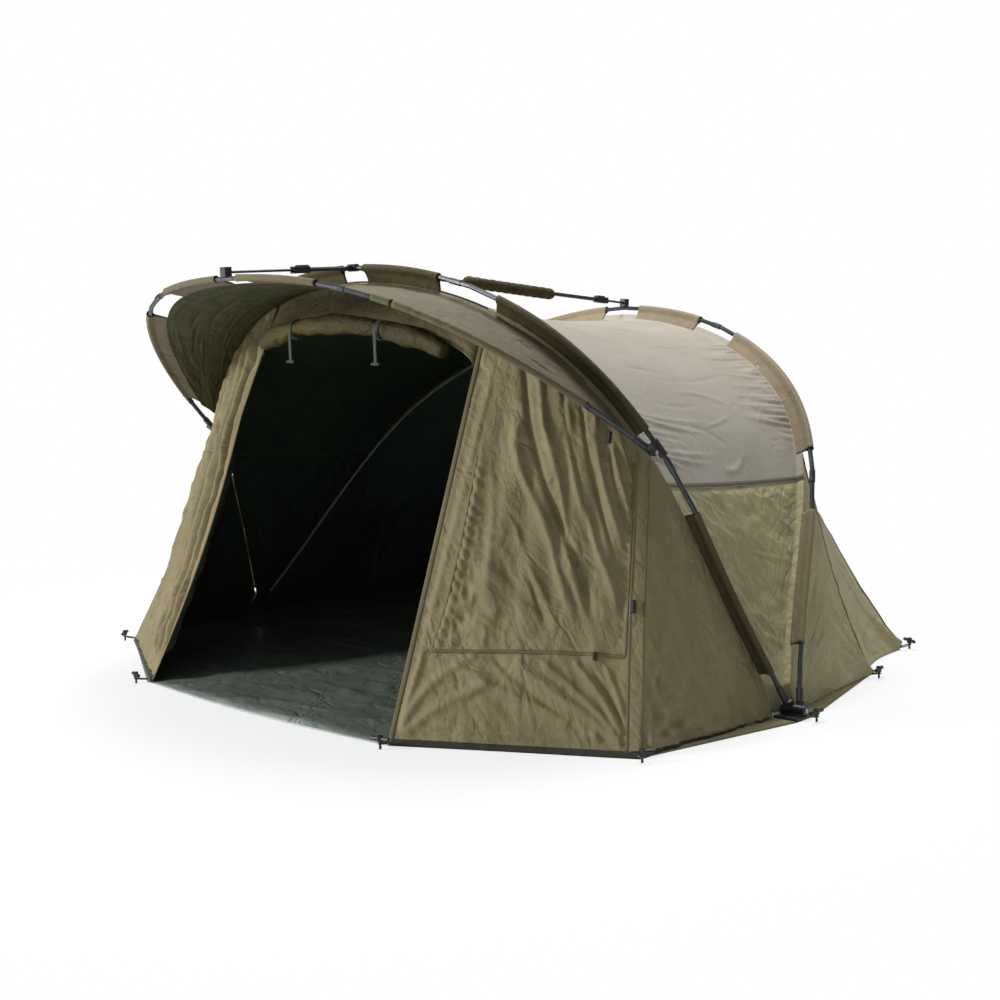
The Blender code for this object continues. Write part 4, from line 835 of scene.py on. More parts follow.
def sleevePoints(rib, start, end, seed, edgeOf):
    # The profile carried along the rib, across it by a and away from the cloth's edge by b, which below
    # the neck is stretched to reach that edge. Ripples run over the flanks, and the mouths flare.
    a, b = sleeveProfile().T
    neck = sleeves["neck"]
    share = np.linspace(start, end, max(8, int((end - start) * rib["length"] / sleeves["step"])))
    middle = ribPoint(rib, share)
    edge = edgeOf(rib, share)
    inward = unit(edge - middle)
    reach = np.linalg.norm(edge - middle, axis=1)[:, None] + sleeves["reachOver"]
    sideways = unit(np.cross(np.gradient(middle, axis=0), inward))
    sideways = sideways * np.sign((sideways * rib["ahead"]).sum())
    stretched = -neck + (b[None] + neck) * (reach - neck) / (sleeves["depth"] - neck)
    drop = np.where(b[None] < -neck, stretched, b[None])
    s = (share * rib["length"])[:, None]
    flank = smoothStep(-b, 0.018, 0.035) * (1 - smoothStep(-b, 0.052, 0.061))
    (broad, broadHeight), (narrow, narrowHeight) = sleeves["broad"], sleeves["narrow"]
    ripple = (softNoise(s + 0 * b, b[None] * 0.5 + 5, broad, seed) * broadHeight
              + softNoise(s + b[None] * 0.4, b[None] * 0.1 + 3, narrow, seed + 1) * narrowHeight) * flank
    mouth = 1 + sleeves["mouth"] * np.exp(-np.minimum(s - s[0], s[-1] - s) / sleeves["mouthLength"])
    points = (middle[:, None] + sideways[:, None] * (a[None, :, None] * mouth[..., None] + ripple[..., None])
              - inward[:, None] * drop[..., None])
    uv = np.stack(np.broadcast_arrays(s, np.linspace(0, sleeves["uvAcross"], len(b))[None]), -1)
    return points, uv, middle.mean(axis=0)


def makeSleeve(name, rib, span, body, finish, seed, edgeOf):
    points, uv, middle = sleevePoints(rib, *span, seed, edgeOf)
    piece = layCloth(name, points, finish, uv, middle, thickness=sleeves["thickness"])
    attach(piece, body)


def makeSleeves(rib, spans, body, finish, lowFinish, edgeOf, lowEdgeOf):
    spans = sorted([*spans, *((2 - end, 2 - start) for start, end in spans)])
    for number, span in enumerate(spans, 1):
        # Sleeves low on the rib take the second finish, which for the rear rib is a copy darkened with
        # painted shade.
        low = span[1] < 0.4 or span[0] > 1.6
        makeSleeve("%s_sleeve_%d" % (body, number), rib, span, body, lowFinish if low else finish,
                   sleeves["seed"] + number, lowEdgeOf if low else edgeOf)


flatEdge, shortEdge = edgeAt(sleeves["depth"]), edgeAt(sleeves["shortDepth"])
makeSleeves(frontRib, sleeves["front"], "front_rib", "sleeveCloth", "sleeveCloth", flatEdge, flatEdge)
makeSleeves(rearRib, sleeves["rear"], "rear_rib", "rearSleeveCloth", "lowSleeveCloth", flatEdge, shortEdge)
print("front and rear sleeves made")

# Hood: from the peak rib back to the front rib

hood = {
    "sag": 0.030, "peakStart": 0.150, "frontStart": 0.425, "rows": 300, "columns": 76, "ahead": 0.0021,
    "edgeIn": 0.024, "edgeBack": 0.052, "length": 3.2, "depth": 0.62, "outFrom": (0, -0.6, 0.6),
    "crumples": ((0.7, 1, 0.09, 44, 0.0022),), "reliefHeight": 1.5, "seed": 41, "folds": 60,
    "start": (0.15, 2.9), "low": (0.02, 0.6), "run": (0.12, 0.45), "tilt": (-0.16, 0.16),
    "width": (0.006, 0.013), "height": (-0.003, 0.0045), "fade": (0.3, 0.4), "greenSeed": 47,
}


def hoodBack(peakShare):
    # Where the hood meets the front rib, for each share of the peak rib.
    u = (peakShare - hood["peakStart"]) / (2 - 2 * hood["peakStart"])
    return inset(frontRib, spanShare(hood["frontStart"], u), roof["edgeDepth"], hood["ahead"])


def hoodEdge(rib, share):
    # The hood's front edge lies behind its pole, in line with the cloth, and a little inside it.
    pole = ribPoint(rib, share)
    return pole + ribInward(rib, share) * hood["edgeIn"] + unit(hoodBack(share) - pole) * hood["edgeBack"]


def makeHood():
    # Straight rulings from edge to edge, with a parabola of sag that is nil at both ends, crumples, and
    # folds that run round the hood.
    u, v = gridOf(hood["rows"], hood["columns"])
    peakShare = spanShare(hood["peakStart"], u)
    upper, lower = hoodEdge(peakRib, peakShare), hoodBack(peakShare)
    points = upper + (lower - upper) * v[..., None]
    points += ribInward(peakRib, peakShare) * (hood["sag"] * 4 * v * (1 - v) * np.sin(np.pi * u))[..., None]
    a, b = u * hood["length"], v * hood["depth"]
    pick = np.random.default_rng(hood["seed"]).uniform
    relief = crumpled(a, b, hood["crumples"])
    for _ in range(hood["folds"]):
        start, low, run, tilt = (pick(*hood[key]) for key in ("start", "low", "run", "tilt"))
        marks = [(start, low), (start + run * 0.5, low + tilt * run * 0.4), (start + run, low + tilt * run)]
        relief += foldAlong(a, b, marks, pick(*hood["width"]), pick(*hood["height"]), hood["fade"])
    relief *= hood["reliefHeight"] * smoothStep(v, 0, 0.05) * (1 - smoothStep(v, 0.95, 1))
    points += outwardNormals(points, hood["outFrom"]) * relief[..., None]
    # Its inner face takes a cloth darkened with painted shade.
    piece = layCloth("hood_skin", points, "hoodCloth", np.stack([a, b], -1), hood["outFrom"],
                     "hoodUndersideInShade")
    turnWith(piece, 1 - v)
    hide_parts("hood_canopy")


makeHood()
makeSleeves(peakRib, sleeves["peak"], "peak_rib", "hoodCloth", "hoodCloth", hoodEdge, hoodEdge)
makeSleeve("green_sleeve", peakRib, sleeves["greenStrip"], "peak_rib", "greenCloth", hood["greenSeed"],
           hoodEdge)
print("hood and its sleeves made")

# Rear wall

rearWall = {
    "rows": 320, "columns": 130, "slack": 0.035, "lap": 0.012, "behind": -0.0035, "hemDraw": 0.040,
    "marks": (0, 0.20, 0.36, 0.64, 0.80, 1), "length": 4.0, "height": 1.3, "seed": 61, "fan": 9,
    "crumples": ((1, 1, 0.13, 63, 0.0045), (1, 1, 0.055, 64, 0.0020)), "swell": (0.3, 66, 0.006),
    "lean": (-0.45, 0.45), "reach": (0.3, 1.0), "width": (0.010, 0.018), "foldHeight": (0.002, 0.006),
    "fade": (0.03, 0.5), "tapeWidth": 0.012, "tapeMarks": 60,
    # each seam: its name, its place at the rib and its place at the hem
    "seams": (("right_1", 0.205, 0.20), ("right_2", 0.355, 0.36),
              ("left_1", 0.645, 0.64), ("left_2", 0.795, 0.80)),
}
innerTape = {"start": 0.05, "rows": 260, "depth": 0.0640, "width": 0.022, "ahead": 0.0030,
             "thickness": 0.0010, "outFrom": (0, 3, 1)}


def hemDraw(u):
    # Between its side and rear pegs the cloth's foot is drawn in, most at the middle of the span.
    spans = np.array(rearWall["marks"])
    k = np.clip(np.searchsorted(spans, u, side="right") - 1, 0, len(spans) - 2)
    draw = rearWall["hemDraw"] * np.sin(np.pi * (u - spans[k]) / (spans[k + 1] - spans[k]))
    nearer = np.minimum(u, 1 - u)
    return draw * ((nearer > spans[1]) & (nearer < spans[2]))


def drawnIn(line, u):
    # Moves a hem line inwards, mostly sideways, by its draw.
    line[..., 0] -= np.sign(line[..., 0]) * hemDraw(u) * 0.9
    line[..., 1] -= hemDraw(u) * 0.4
    return line


def rearWallPoints(u, v):
    # Straight rulings from the rear rib to the pegged hem, with a parabola of slack, crumples, a broad
    # swell, and folds that fan up from the pegs.
    share = spanShare(roof["hemShare"], u)
    upper = inset(rearRib, share, roof["edgeDepth"] - rearWall["lap"], rearWall["behind"])
    right = [plan["hubSeam"], plan["side"], plan["rear"]]
    corners = [(x, y, plan["clothFoot"]) for x, y in right + [(-x, y) for x, y in right[::-1]]]
    lower = drawnIn(alongLine(corners, rearWall["marks"], u), u)
    points = upper + (lower - upper) * v[..., None]
    points[..., 1] -= rearWall["slack"] * 4 * v * (1 - v) * np.sin(np.pi * u)
    a, b = u * rearWall["length"], v * rearWall["height"]
    pick = np.random.default_rng(rearWall["seed"]).uniform
    relief = crumpled(a, b, rearWall["crumples"])
    cell, seed, height = rearWall["swell"]
    relief += softNoise(a, b, cell, seed) * height
    for mark in rearWall["marks"][1:-1]:
        foot = mark * rearWall["length"]
        for _ in range(rearWall["fan"]):
            marks = [(foot, rearWall["height"]), (foot + pick(*rearWall["lean"]), pick(*rearWall["reach"]))]
            width, height = pick(*rearWall["width"]), pick(*rearWall["foldHeight"])
            relief += foldAlong(a, b, marks, width, height, rearWall["fade"])
    relief *= smoothStep(v, 0, 0.04) * (1 - smoothStep(v, 0.985, 1))
    return points + outwardNormals(points, (0, 0, 0.4)) * relief[..., None], np.stack([a, b], -1)


def makeRearWall():
    u, v = gridOf(rearWall["rows"], rearWall["columns"])
    outFrom = (0, 0, 0.4)
    points, uv = rearWallPoints(u, v)
    piece = layCloth("rear_wall_skin", points, "rearCloth", uv, outFrom, "liningCloth")
    turnWith(piece, 1 - v)
    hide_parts("rear_wall")
    for name, top, foot in rearWall["seams"]:
        t = np.linspace(0.01, 0.995, rearWall["tapeMarks"])
        tape, grid = makeTape("rear_seam_" + name, points, outFrom, np.stack([top + (foot - top) * t, t], -1),
                              rearWall["tapeWidth"], "seamTape")
        share = t[np.linspace(0, len(t) - 1, grid.shape[0]).astype(int)][:, None]
        turnWith(tape, 1 - np.repeat(share, grid.shape[1], 1))


def makeInnerTape():
    # A flat band inside the rear rib, square to its pole.
    u, v = gridOf(innerTape["rows"], 3)
    points = inset(rearRib, spanShare(innerTape["start"], u), innerTape["depth"] + innerTape["width"] * v,
                   innerTape["ahead"])
    tape = layCloth("inner_tape", points, "innerTape", outFrom=innerTape["outFrom"],
                    thickness=innerTape["thickness"])
    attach(tape, "rear_rib")


makeRearWall()
makeInnerTape()
print("rear wall made")

# Front walls: from the hub round the front corner to the doorway. In them u runs from the hub to the
# door edge, with the corner at sideShare, and v from the rib down to the ground.

frontWall = {
    "edgeAhead": 0.0045, "seamGap": 0.006, "lap": -0.012, "sideShare": 0.30, "slack": 0.012,
    "foldDepth": 0.016, "folds": 6, "foldMargin": 0.10, "fall": 1.15, "lean": (0.45, -0.80, 0.40),
    "doorTopRight": 0.622, "doorTopLeft": 0.490, "bowLeft": 0.045, "rows": 262, "columns": 184,
    "quietFolds": 0.30, "seatReach": 0.045, "seatNear": 0.35, "seatFar": 1.6, "seatDip": 0.0012,
    "zipDip": 0.0030, "tapeMarks": 40,
    # the wall laid flat: metres across for each u beside and before the corner, metres down at the hub,
    # the corner and the door
    "sideAcross": 2.2, "frontAcross": 1.1, "hubDown": 0.10, "cornerDown": 0.98, "doorDown": 1.48,
}
windowLook = {
    "zipWave": 0.037, "zipWander": (2.2, 0.09, 79), "zipHeight": 0.0045, "zipPlace": (0.016, 0.014),
    "zipRidge": (0.007, 0.018, 0.012), "gatherWave": 0.030, "gatherWander": (2.5, 0.07, 80),
    "gatherHeight": 0.0030, "gatherWidth": 0.022, "groove": (-0.0035, 0.004, 0.004),
    "corner": ((1, 1, 0.085, 71, 0.015), (1, 1, 0.040, 73, 0.0085)),
    "broad": ((1, 1, 0.10, 75, 0.0028), (1, 1, 0.045, 77, 0.0012)), "low": ((1, 1, 0.07, 83, 0.0030),),
}
sideLook = {"foldHeight": 1.5, "crumples": ((1, 1, 0.11, 0, 0.0095), (1, 1, 0.048, 3, 0.0045)), "above": 0.2}
leftLook = {"foldHeight": 1.5, "crumples": ((1, 0.6, 0.07, 87, 0.0080), (1, 1, 0.035, 89, 0.0035))}

# Each fold: its (u, v) marks, its half width and its height in metres, a hollow where the height is negative
windowFolds = (
    (((0.842, 0.05), (0.77, 0.213), (0.718, 0.29), (0.638, 0.377), (0.535, 0.5), (0.458, 0.64)),
     0.016, -0.017),
    (((0.822, 0.20), (0.768, 0.333), (0.692, 0.397), (0.582, 0.553), (0.488, 0.697)), 0.020, 0.014),
    (((0.80, 0.02), (0.735, 0.16), (0.68, 0.25)), 0.018, 0.012),
    (((0.77, 0.44), (0.685, 0.553), (0.605, 0.633), (0.555, 0.713)), 0.016, 0.011),
    (((0.735, 0.50), (0.66, 0.60), (0.60, 0.70)), 0.012, -0.008),
    (((0.758, 0.143), (0.69, 0.233), (0.622, 0.34), (0.552, 0.513), (0.455, 0.69)), 0.018, 0.013),
    (((0.70, 0.02), (0.64, 0.16), (0.575, 0.27), (0.50, 0.42)), 0.014, -0.011),
    (((0.665, 0.08), (0.602, 0.24), (0.515, 0.373), (0.405, 0.54), (0.368, 0.647)), 0.018, 0.014),
    (((0.61, 0.06), (0.53, 0.23), (0.45, 0.36), (0.39, 0.47)), 0.012, -0.010),
    (((0.548, 0.05), (0.51, 0.19), (0.465, 0.263), (0.375, 0.413)), 0.016, 0.012),
    (((0.50, 0.06), (0.44, 0.21), (0.375, 0.33)), 0.010, -0.008),
    (((0.485, 0.06), (0.44, 0.16), (0.40, 0.223), (0.365, 0.31)), 0.012, 0.010),
    (((0.452, 0.05), (0.37, 0.167)), 0.010, 0.008),
    (((0.87, 0.34), (0.82, 0.52), (0.80, 0.70)), 0.016, 0.006),
)
lowFolds = (
    (((0.698, 0.775), (0.535, 0.847), (0.382, 0.937), (0.33, 0.97)), 0.018, 0.012),
    (((0.76, 0.775), (0.60, 0.86), (0.42, 0.955)), 0.012, -0.008),
    (((0.615, 0.765), (0.47, 0.843), (0.36, 0.933)), 0.014, 0.012),
    (((0.518, 0.743), (0.422, 0.827), (0.345, 0.94)), 0.013, 0.012),
    (((0.47, 0.74), (0.395, 0.83), (0.335, 0.94)), 0.010, -0.008),
    (((0.422, 0.73), (0.365, 0.833), (0.32, 0.947)), 0.012, 0.010),
    (((0.872, 0.803), (0.692, 0.86), (0.532, 0.90), (0.398, 0.957)), 0.014, 0.010),
    (((0.98, 0.977), (0.93, 0.88), (0.792, 0.773)), 0.012, 0.011),
    (((0.97, 0.983), (0.883, 0.913), (0.738, 0.837)), 0.012, 0.010),
    (((0.99, 0.97), (0.965, 0.857), (0.948, 0.697)), 0.012, 0.010),
    (((0.893, 0.943), (0.715, 0.955), (0.4, 0.945)), 0.012, 0.007),
)
stripFolds = (
    (((0.975, 0.05), (0.985, 0.417), (0.99, 0.75)), 0.010, 0.007),
    (((0.93, 0.10), (0.945, 0.457), (0.965, 0.85)), 0.014, 0.006),
    (((0.90, 0.03), (0.90, 0.18), (0.925, 0.34)), 0.016, -0.006),
    (((0.87, 0.03), (0.87, 0.16), (0.90, 0.30)), 0.014, 0.008),
)
cornerFolds = (
    (((0.285, 0.98), (0.28, 0.753), (0.26, 0.60)), 0.010, 0.009),
    (((0.28, 0.98), (0.255, 0.88), (0.20, 0.74)), 0.011, 0.009),
    (((0.27, 0.985), (0.22, 0.93), (0.13, 0.88)), 0.011, 0.008),
    (((0.25, 0.985), (0.17, 0.965), (0.06, 0.95)), 0.010, 0.006),
    (((0.24, 0.10), (0.25, 0.40), (0.27, 0.75)), 0.018, 0.005),
    (((0.20, 0.12), (0.20, 0.45), (0.16, 0.75)), 0.020, -0.005),
)
leftFolds = (
    (((0.975, 0.03), (0.975, 0.35), (0.985, 0.95)), 0.009, 0.010),
    (((0.945, 0.01), (0.95, 0.35), (0.97, 0.95)), 0.012, -0.022),
    (((0.915, 0.01), (0.93, 0.35), (0.955, 0.95)), 0.010, 0.014),
    (((0.88, 0.01), (0.905, 0.40), (0.94, 0.95)), 0.012, -0.020),
    (((0.85, 0.01), (0.88, 0.40), (0.925, 0.95)), 0.014, 0.020),
    (((0.80, 0.02), (0.84, 0.45), (0.90, 0.95)), 0.014, -0.020),
    (((0.76, 0.02), (0.80, 0.45), (0.88, 0.95)), 0.014, 0.016),
    (((0.68, 0.03), (0.74, 0.45), (0.86, 0.95)), 0.020, 0.014),
    (((0.56, 0.04), (0.62, 0.45), (0.78, 0.95)), 0.018, -0.010),
    (((0.44, 0.06), (0.46, 0.45), (0.55, 0.95)), 0.020, 0.010),
)
windowEdge = {
    "zip": ((0.922, 0.337), (0.915, 0.527), (0.920, 0.68), (0.935, 0.787)),
    "hem": ((0.935, 0.787), (0.80, 0.772), (0.65, 0.75), (0.50, 0.724), (0.358, 0.697)),
    "gather": ((0.370, 0.093), (0.362, 0.397), (0.358, 0.697)),
    "bandInner": ((0.358, 0.05), (0.352, 0.40), (0.346, 0.70), (0.335, 0.98)),
    "bandOuter": ((0.302, 0.02), (0.304, 0.50), (0.298, 0.98)),
}


def wallEdge(share, gap):
    return inset(frontRib, share, roof["edgeDepth"] + gap, frontWall["edgeAhead"])


def shareAtX(x):
    shares = np.linspace(ribSizes["hingeShare"], 1.0, 4001)
    return float(np.interp(-x, -wallEdge(shares, frontWall["seamGap"])[:, 0], shares))


def wallPlane(u, v):
    # Metres across the wall from its corner, and down it from the rib.
    turn, corner = frontWall["sideShare"], frontWall["cornerDown"]
    a = (u - turn) * np.where(u < turn, frontWall["sideAcross"], frontWall["frontAcross"])
    besideHub = corner - (turn - u) / turn * (corner - frontWall["hubDown"])
    besideDoor = corner + (u - turn) / (1 - turn) * (frontWall["doorDown"] - corner)
    return a, v * np.where(u < turn, besideHub, besideDoor)


def foldSet(u, v, folds, fade=(0.12, 0.25)):
    a, b = wallPlane(u, v)
    total = np.zeros(u.shape)
    for marks, width, height in folds:
        marks = np.array(marks)
        total += foldAlong(a, b, np.stack(wallPlane(marks[:, 0], marks[:, 1]), -1), width, height, fade)
    return total


def edgeU(v, name):
    return np.interp(v, [mark[1] for mark in windowEdge[name]], [mark[0] for mark in windowEdge[name]])


def wavy(b, length, wander, shift):
    # A sine down the wall whose phase wanders.
    amount, cell, seed = wander
    return np.sin(b * 2 * np.pi / length + amount * softNoise(b, b * 0 + shift, cell, seed))


def windowRelief(u, v):
    # The window flap: puckered along its zip and its gathered edge, creased in the lower corner by the
    # zip, crossed by the fan of folds above its hem, and by others that run to the pegs below it.
    look = windowLook
    a, b = wallPlane(u, v)
    hem = windowEdge["hem"][::-1]
    zipU, gatherU = edgeU(v, "zip"), edgeU(v, "gather")
    hemV = np.interp(u, [mark[0] for mark in hem], [mark[1] for mark in hem])
    inside = smoothStep(zipU - u, -0.004, 0.01) * smoothStep(hemV - v, -0.004, 0.008)
    inside *= smoothStep(u - gatherU, 0, 0.01)
    below = smoothStep(v - hemV, 0, 0.01) * smoothStep(u, 0.345, 0.36)
    folds = foldSet(u, v, windowFolds) * smoothStep(u, 0.355, 0.372) * (1 - smoothStep(v, hemV - 0.03, hemV))
    corner = np.exp(-((u - 0.83) / 0.10) ** 2 - ((v - 0.66) / 0.16) ** 2)
    creased = (crumpled(a, b, look["corner"]) * corner + crumpled(a, b, look["broad"])) * inside
    height, middle, width = look["zipRidge"]
    beside = np.clip((zipU - u) * frontWall["frontAcross"], 0, 1)
    wave = look["zipHeight"] * wavy(b, look["zipWave"], look["zipWander"], 0)
    zipPucker = wave * bell(beside, *look["zipPlace"]) + height * bell(beside, middle, width)
    zipPucker *= smoothStep(v, 0.33, 0.37) * (1 - smoothStep(v, 0.77, 0.80)) * smoothStep(zipU - u, 0, 0.004)
    beside = np.clip((u - gatherU) * frontWall["frontAcross"], 0, 1)
    gatherPucker = (look["gatherHeight"] * wavy(b, look["gatherWave"], look["gatherWander"], 3)
                    * bell(beside, 0, look["gatherWidth"]) * smoothStep(v, 0.08, 0.14) * inside)
    skirt = (foldSet(u, v, lowFolds, (0.10, 0.06)) + crumpled(a, b, look["low"])) * below
    height, drop, width = look["groove"]
    groove = height * bell(v - hemV, drop, width) * smoothStep(u, 0.355, 0.36) * (u < 0.937)
    strip = foldSet(u, v, stripFolds) * smoothStep(u - zipU, -0.006, 0.01)
    total = folds + creased + zipPucker + gatherPucker + skirt + groove + strip
    return total * smoothStep(u, 0.30, 0.31)


def sidePartRelief(u, v, seed):
    # The part beside the hub: folds that rise from its corner, and crumples that grow towards the ground.
    a, b = wallPlane(u, v)
    low = sideLook["above"] + (1 - sideLook["above"]) * smoothStep(v, 0.35, 0.8)
    total = sideLook["foldHeight"] * foldSet(u, v, cornerFolds, (0.03, 0.35))
    total += crumpled(a, b, sideLook["crumples"], seed) * low
    return total * (1 - smoothStep(u, 0.285, 0.298)) * smoothStep(u, 0.0, 0.04)


def leftRelief(u, v):
    # Long folds that hang beside the doorway, over crumples.
    a, b = wallPlane(u, v)
    total = leftLook["foldHeight"] * foldSet(u, v, leftFolds, (0.05, 0.05))
    total += crumpled(a, b, leftLook["crumples"])
    return total * smoothStep(u, 0.30, 0.34)


def frontWallPoints(doorTop, footX, bow, relief, sideSeed, seats, mirror):
    # Straight rulings from the rib down to the hem, hung with slack and a row of sine folds between the
    # corner and the doorway. Near a toggle or a slider the cloth keeps all of those folds, as the solid
    # wall does, and elsewhere the drawn relief takes over. It lies lower where the door's slider runs,
    # and the left door edge bows outwards.
    u, v = gridOf(frontWall["rows"], frontWall["columns"])
    turn = frontWall["sideShare"]
    share = np.interp(u, (0, turn, 1), (roof["hemShare"], ribSizes["hingeShare"], shareAtX(doorTop)))
    upper = wallEdge(share, frontWall["lap"])
    corners = [(plan["hubSeam"][0], -plan["hubSeam"][1]), plan["corner"], (footX, plan["door"][1])]
    lower = alongLine([(x, y, plan["clothFoot"]) for x, y in corners], (0, turn, 1), u)
    points = upper + (lower - upper) * v[..., None]
    beside = np.clip((u - turn) / (1 - turn), 0, 1)
    points[..., 0] -= bow * beside**2 * np.sin(np.pi * np.clip((v - 0.3) / 0.7, 0, 1))
    hang = frontWall["slack"] * 4 * v * (1 - v) * np.sin(np.pi * u)
    edge = np.minimum(1, np.minimum(beside, 1 - beside) / frontWall["foldMargin"])
    depth = frontWall["foldDepth"] * edge * np.sin(np.pi * np.minimum(1, v * frontWall["fall"]))
    folds = depth * np.sin(2 * np.pi * frontWall["folds"] * beside)
    lean = unit(np.array(frontWall["lean"]))
    seated = (points + lean * (folds - hang)[..., None]) * (mirror, 1, 1)
    near = np.zeros(u.shape)
    for seat in seats:
        gap = np.linalg.norm(seated - seat, axis=-1) / frontWall["seatReach"]
        near = np.maximum(near, 1 - smoothStep(gap, frontWall["seatNear"], frontWall["seatFar"]))
    quiet = frontWall["quietFolds"]
    points = points + lean * (folds * (quiet + (1 - quiet) * near) - hang)[..., None]
    held = smoothStep(v, 0, 0.03) * (1 - smoothStep(v, 0.985, 1))
    height = relief(u, v) + sidePartRelief(u, v, sideSeed)
    height *= held * (1 - smoothStep(u, 0.965, 0.99)) * (1 - near)
    height -= frontWall["seatDip"] * near + frontWall["zipDip"] * smoothStep(u, 0.955, 0.98) * held
    points += outwardNormals(points, (0.3, 0, 0.5)) * height[..., None]
    return points * (mirror, 1, 1), np.stack(wallPlane(u, v), -1)


def flatten(piece):
    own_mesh(piece)


def foldAway(piece):
    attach(piece, "front_rib")
    flatten(piece)


def middleOf(node):
    low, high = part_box(node)
    return (np.array(low) + np.array(high)) / 2


# The tapes of both front walls, and those of the window: each one's name, its line of (u, v) marks, its
# width and its finish
run = np.linspace(0, 1, frontWall["tapeMarks"])
wallTapes = (("door_tape_", np.stack([run * 0 + 0.9955, 0.01 + run * 0.985], -1), 0.016, "stitchTape"),
             ("ground_tape_", np.stack([0.005 + run * 0.99, run * 0 + 0.992], -1), 0.022, "darkTape"),
             ("band_seam_", windowEdge["bandOuter"], 0.007, "stitchTape"))
windowTapes = (("window_zip_", windowEdge["zip"], 0.009, "zipCoil"),
               ("window_hem_", windowEdge["hem"], 0.012, "stitchTape"),
               ("window_gather_", windowEdge["gather"], 0.007, "stitchTape"),
               ("band_edge_", windowEdge["bandInner"], 0.006, "stitchTape"))


def makeFrontWall(side, doorTop, footX, bow, relief, sideSeed, seatNodes, mirror, tapes):
    seats = [middleOf(node) for node in seatNodes]
    points, uv = frontWallPoints(doorTop, footX, bow, relief, sideSeed, seats, mirror)
    piece = layCloth("front_panel_" + side, points, "wallCloth", uv, lining="liningCloth")
    foldAway(piece)
    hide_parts("front_wall_" + side)
    for label, marks, width, finish in tapes:
        foldAway(makeTape(label + side, points, (0, 0, 0.5), marks, width, finish)[0])


makeFrontWall("right", frontWall["doorTopRight"], plan["door"][0], 0.0, windowRelief, 91,
              ("toggle_lower", "toggle_upper", "window_zip_slider", "door_zip_slider_right"), 1,
              wallTapes + windowTapes)
makeFrontWall("left", frontWall["doorTopLeft"], plan["doorFootLeft"], frontWall["bowLeft"], leftRelief, 97,
              ("door_zip_slider_left",), -1, wallTapes)
print("front walls made")

# Header over the doorway, and the door rolled up under it

doorway = {
    "headerGap": -0.0032, "cornerShare": 0.135, "arch": 0.165, "rows": 120, "columns": 34, "clothGap": 0.002,
    "length": 1.1, "height": 0.16, "crumples": ((1, 1, 0.05, 91, 0.004),), "outFrom": (0, 0, 1.0),
    "rollRadius": 0.034, "rollClear": 0.0026, "rollDrop": 0.20, "rollTaper": 0.08, "rollEnd": 0.72,
    "rollMargin": 1 / 14, "rollRows": 220, "rollSides": 40, "ties": (0.30, 0.74), "tieWidth": 0.022,
    "broad": 0.12, "sharp": 0.07, "pinch": 0.16, "winding": 0.06, "turns": (2, 14, 2.5),
    "lumpLimits": (0.6, 1.18),
}


def headerLines():
    # The upper line follows the rib and the lower one is an arch between the doorway's corners, which
    # are where the cloth would end without its lap onto the rib.
    gap = np.array((doorway["clothGap"], 0, 0))
    ends = []
    for doorTop, footX, mirror in ((frontWall["doorTopRight"], plan["door"][0], 1),
                                   (frontWall["doorTopLeft"], plan["doorFootLeft"], -1)):
        top = wallEdge(np.array(shareAtX(doorTop)), frontWall["seamGap"]) * (mirror, 1, 1)
        foot = np.array((footX * mirror, plan["door"][1], plan["clothFoot"]))
        ends.append((top - gap * mirror, top + (foot - top) * doorway["cornerShare"] - gap * mirror))
    (rightTop, rightLow), (leftTop, leftLow) = ends
    start, end = shareAtX(rightTop[0]), 2 - shareAtX(-leftTop[0])

    def upper(u):
        return wallEdge(start + (end - start) * u, doorway["headerGap"])

    def lower(u):
        lift = doorway["arch"] * np.sin(np.pi * np.clip(u, 0, 1)) ** 0.5
        return rightLow + (leftLow - rightLow) * u[..., None] + frontRib["rise"] * lift[..., None]

    return upper, lower


def makeHeader(upper, lower):
    # Straight rulings between the two lines, crumpled away from both.
    u, v = gridOf(doorway["rows"], doorway["columns"])
    points = upper(u) + (lower(u) - upper(u)) * v[..., None]
    a, b = u * doorway["length"], v * doorway["height"]
    relief = crumpled(a, b, doorway["crumples"]) * smoothStep(v, 0, 0.2) * (1 - smoothStep(v, 0.9, 1))
    points += outwardNormals(points, doorway["outFrom"]) * relief[..., None]
    piece = layCloth("header_skin", points, "wallCloth", np.stack([a, b], -1),
                     doorway["outFrom"], "liningCloth")
    foldAway(piece)
    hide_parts("door_header")


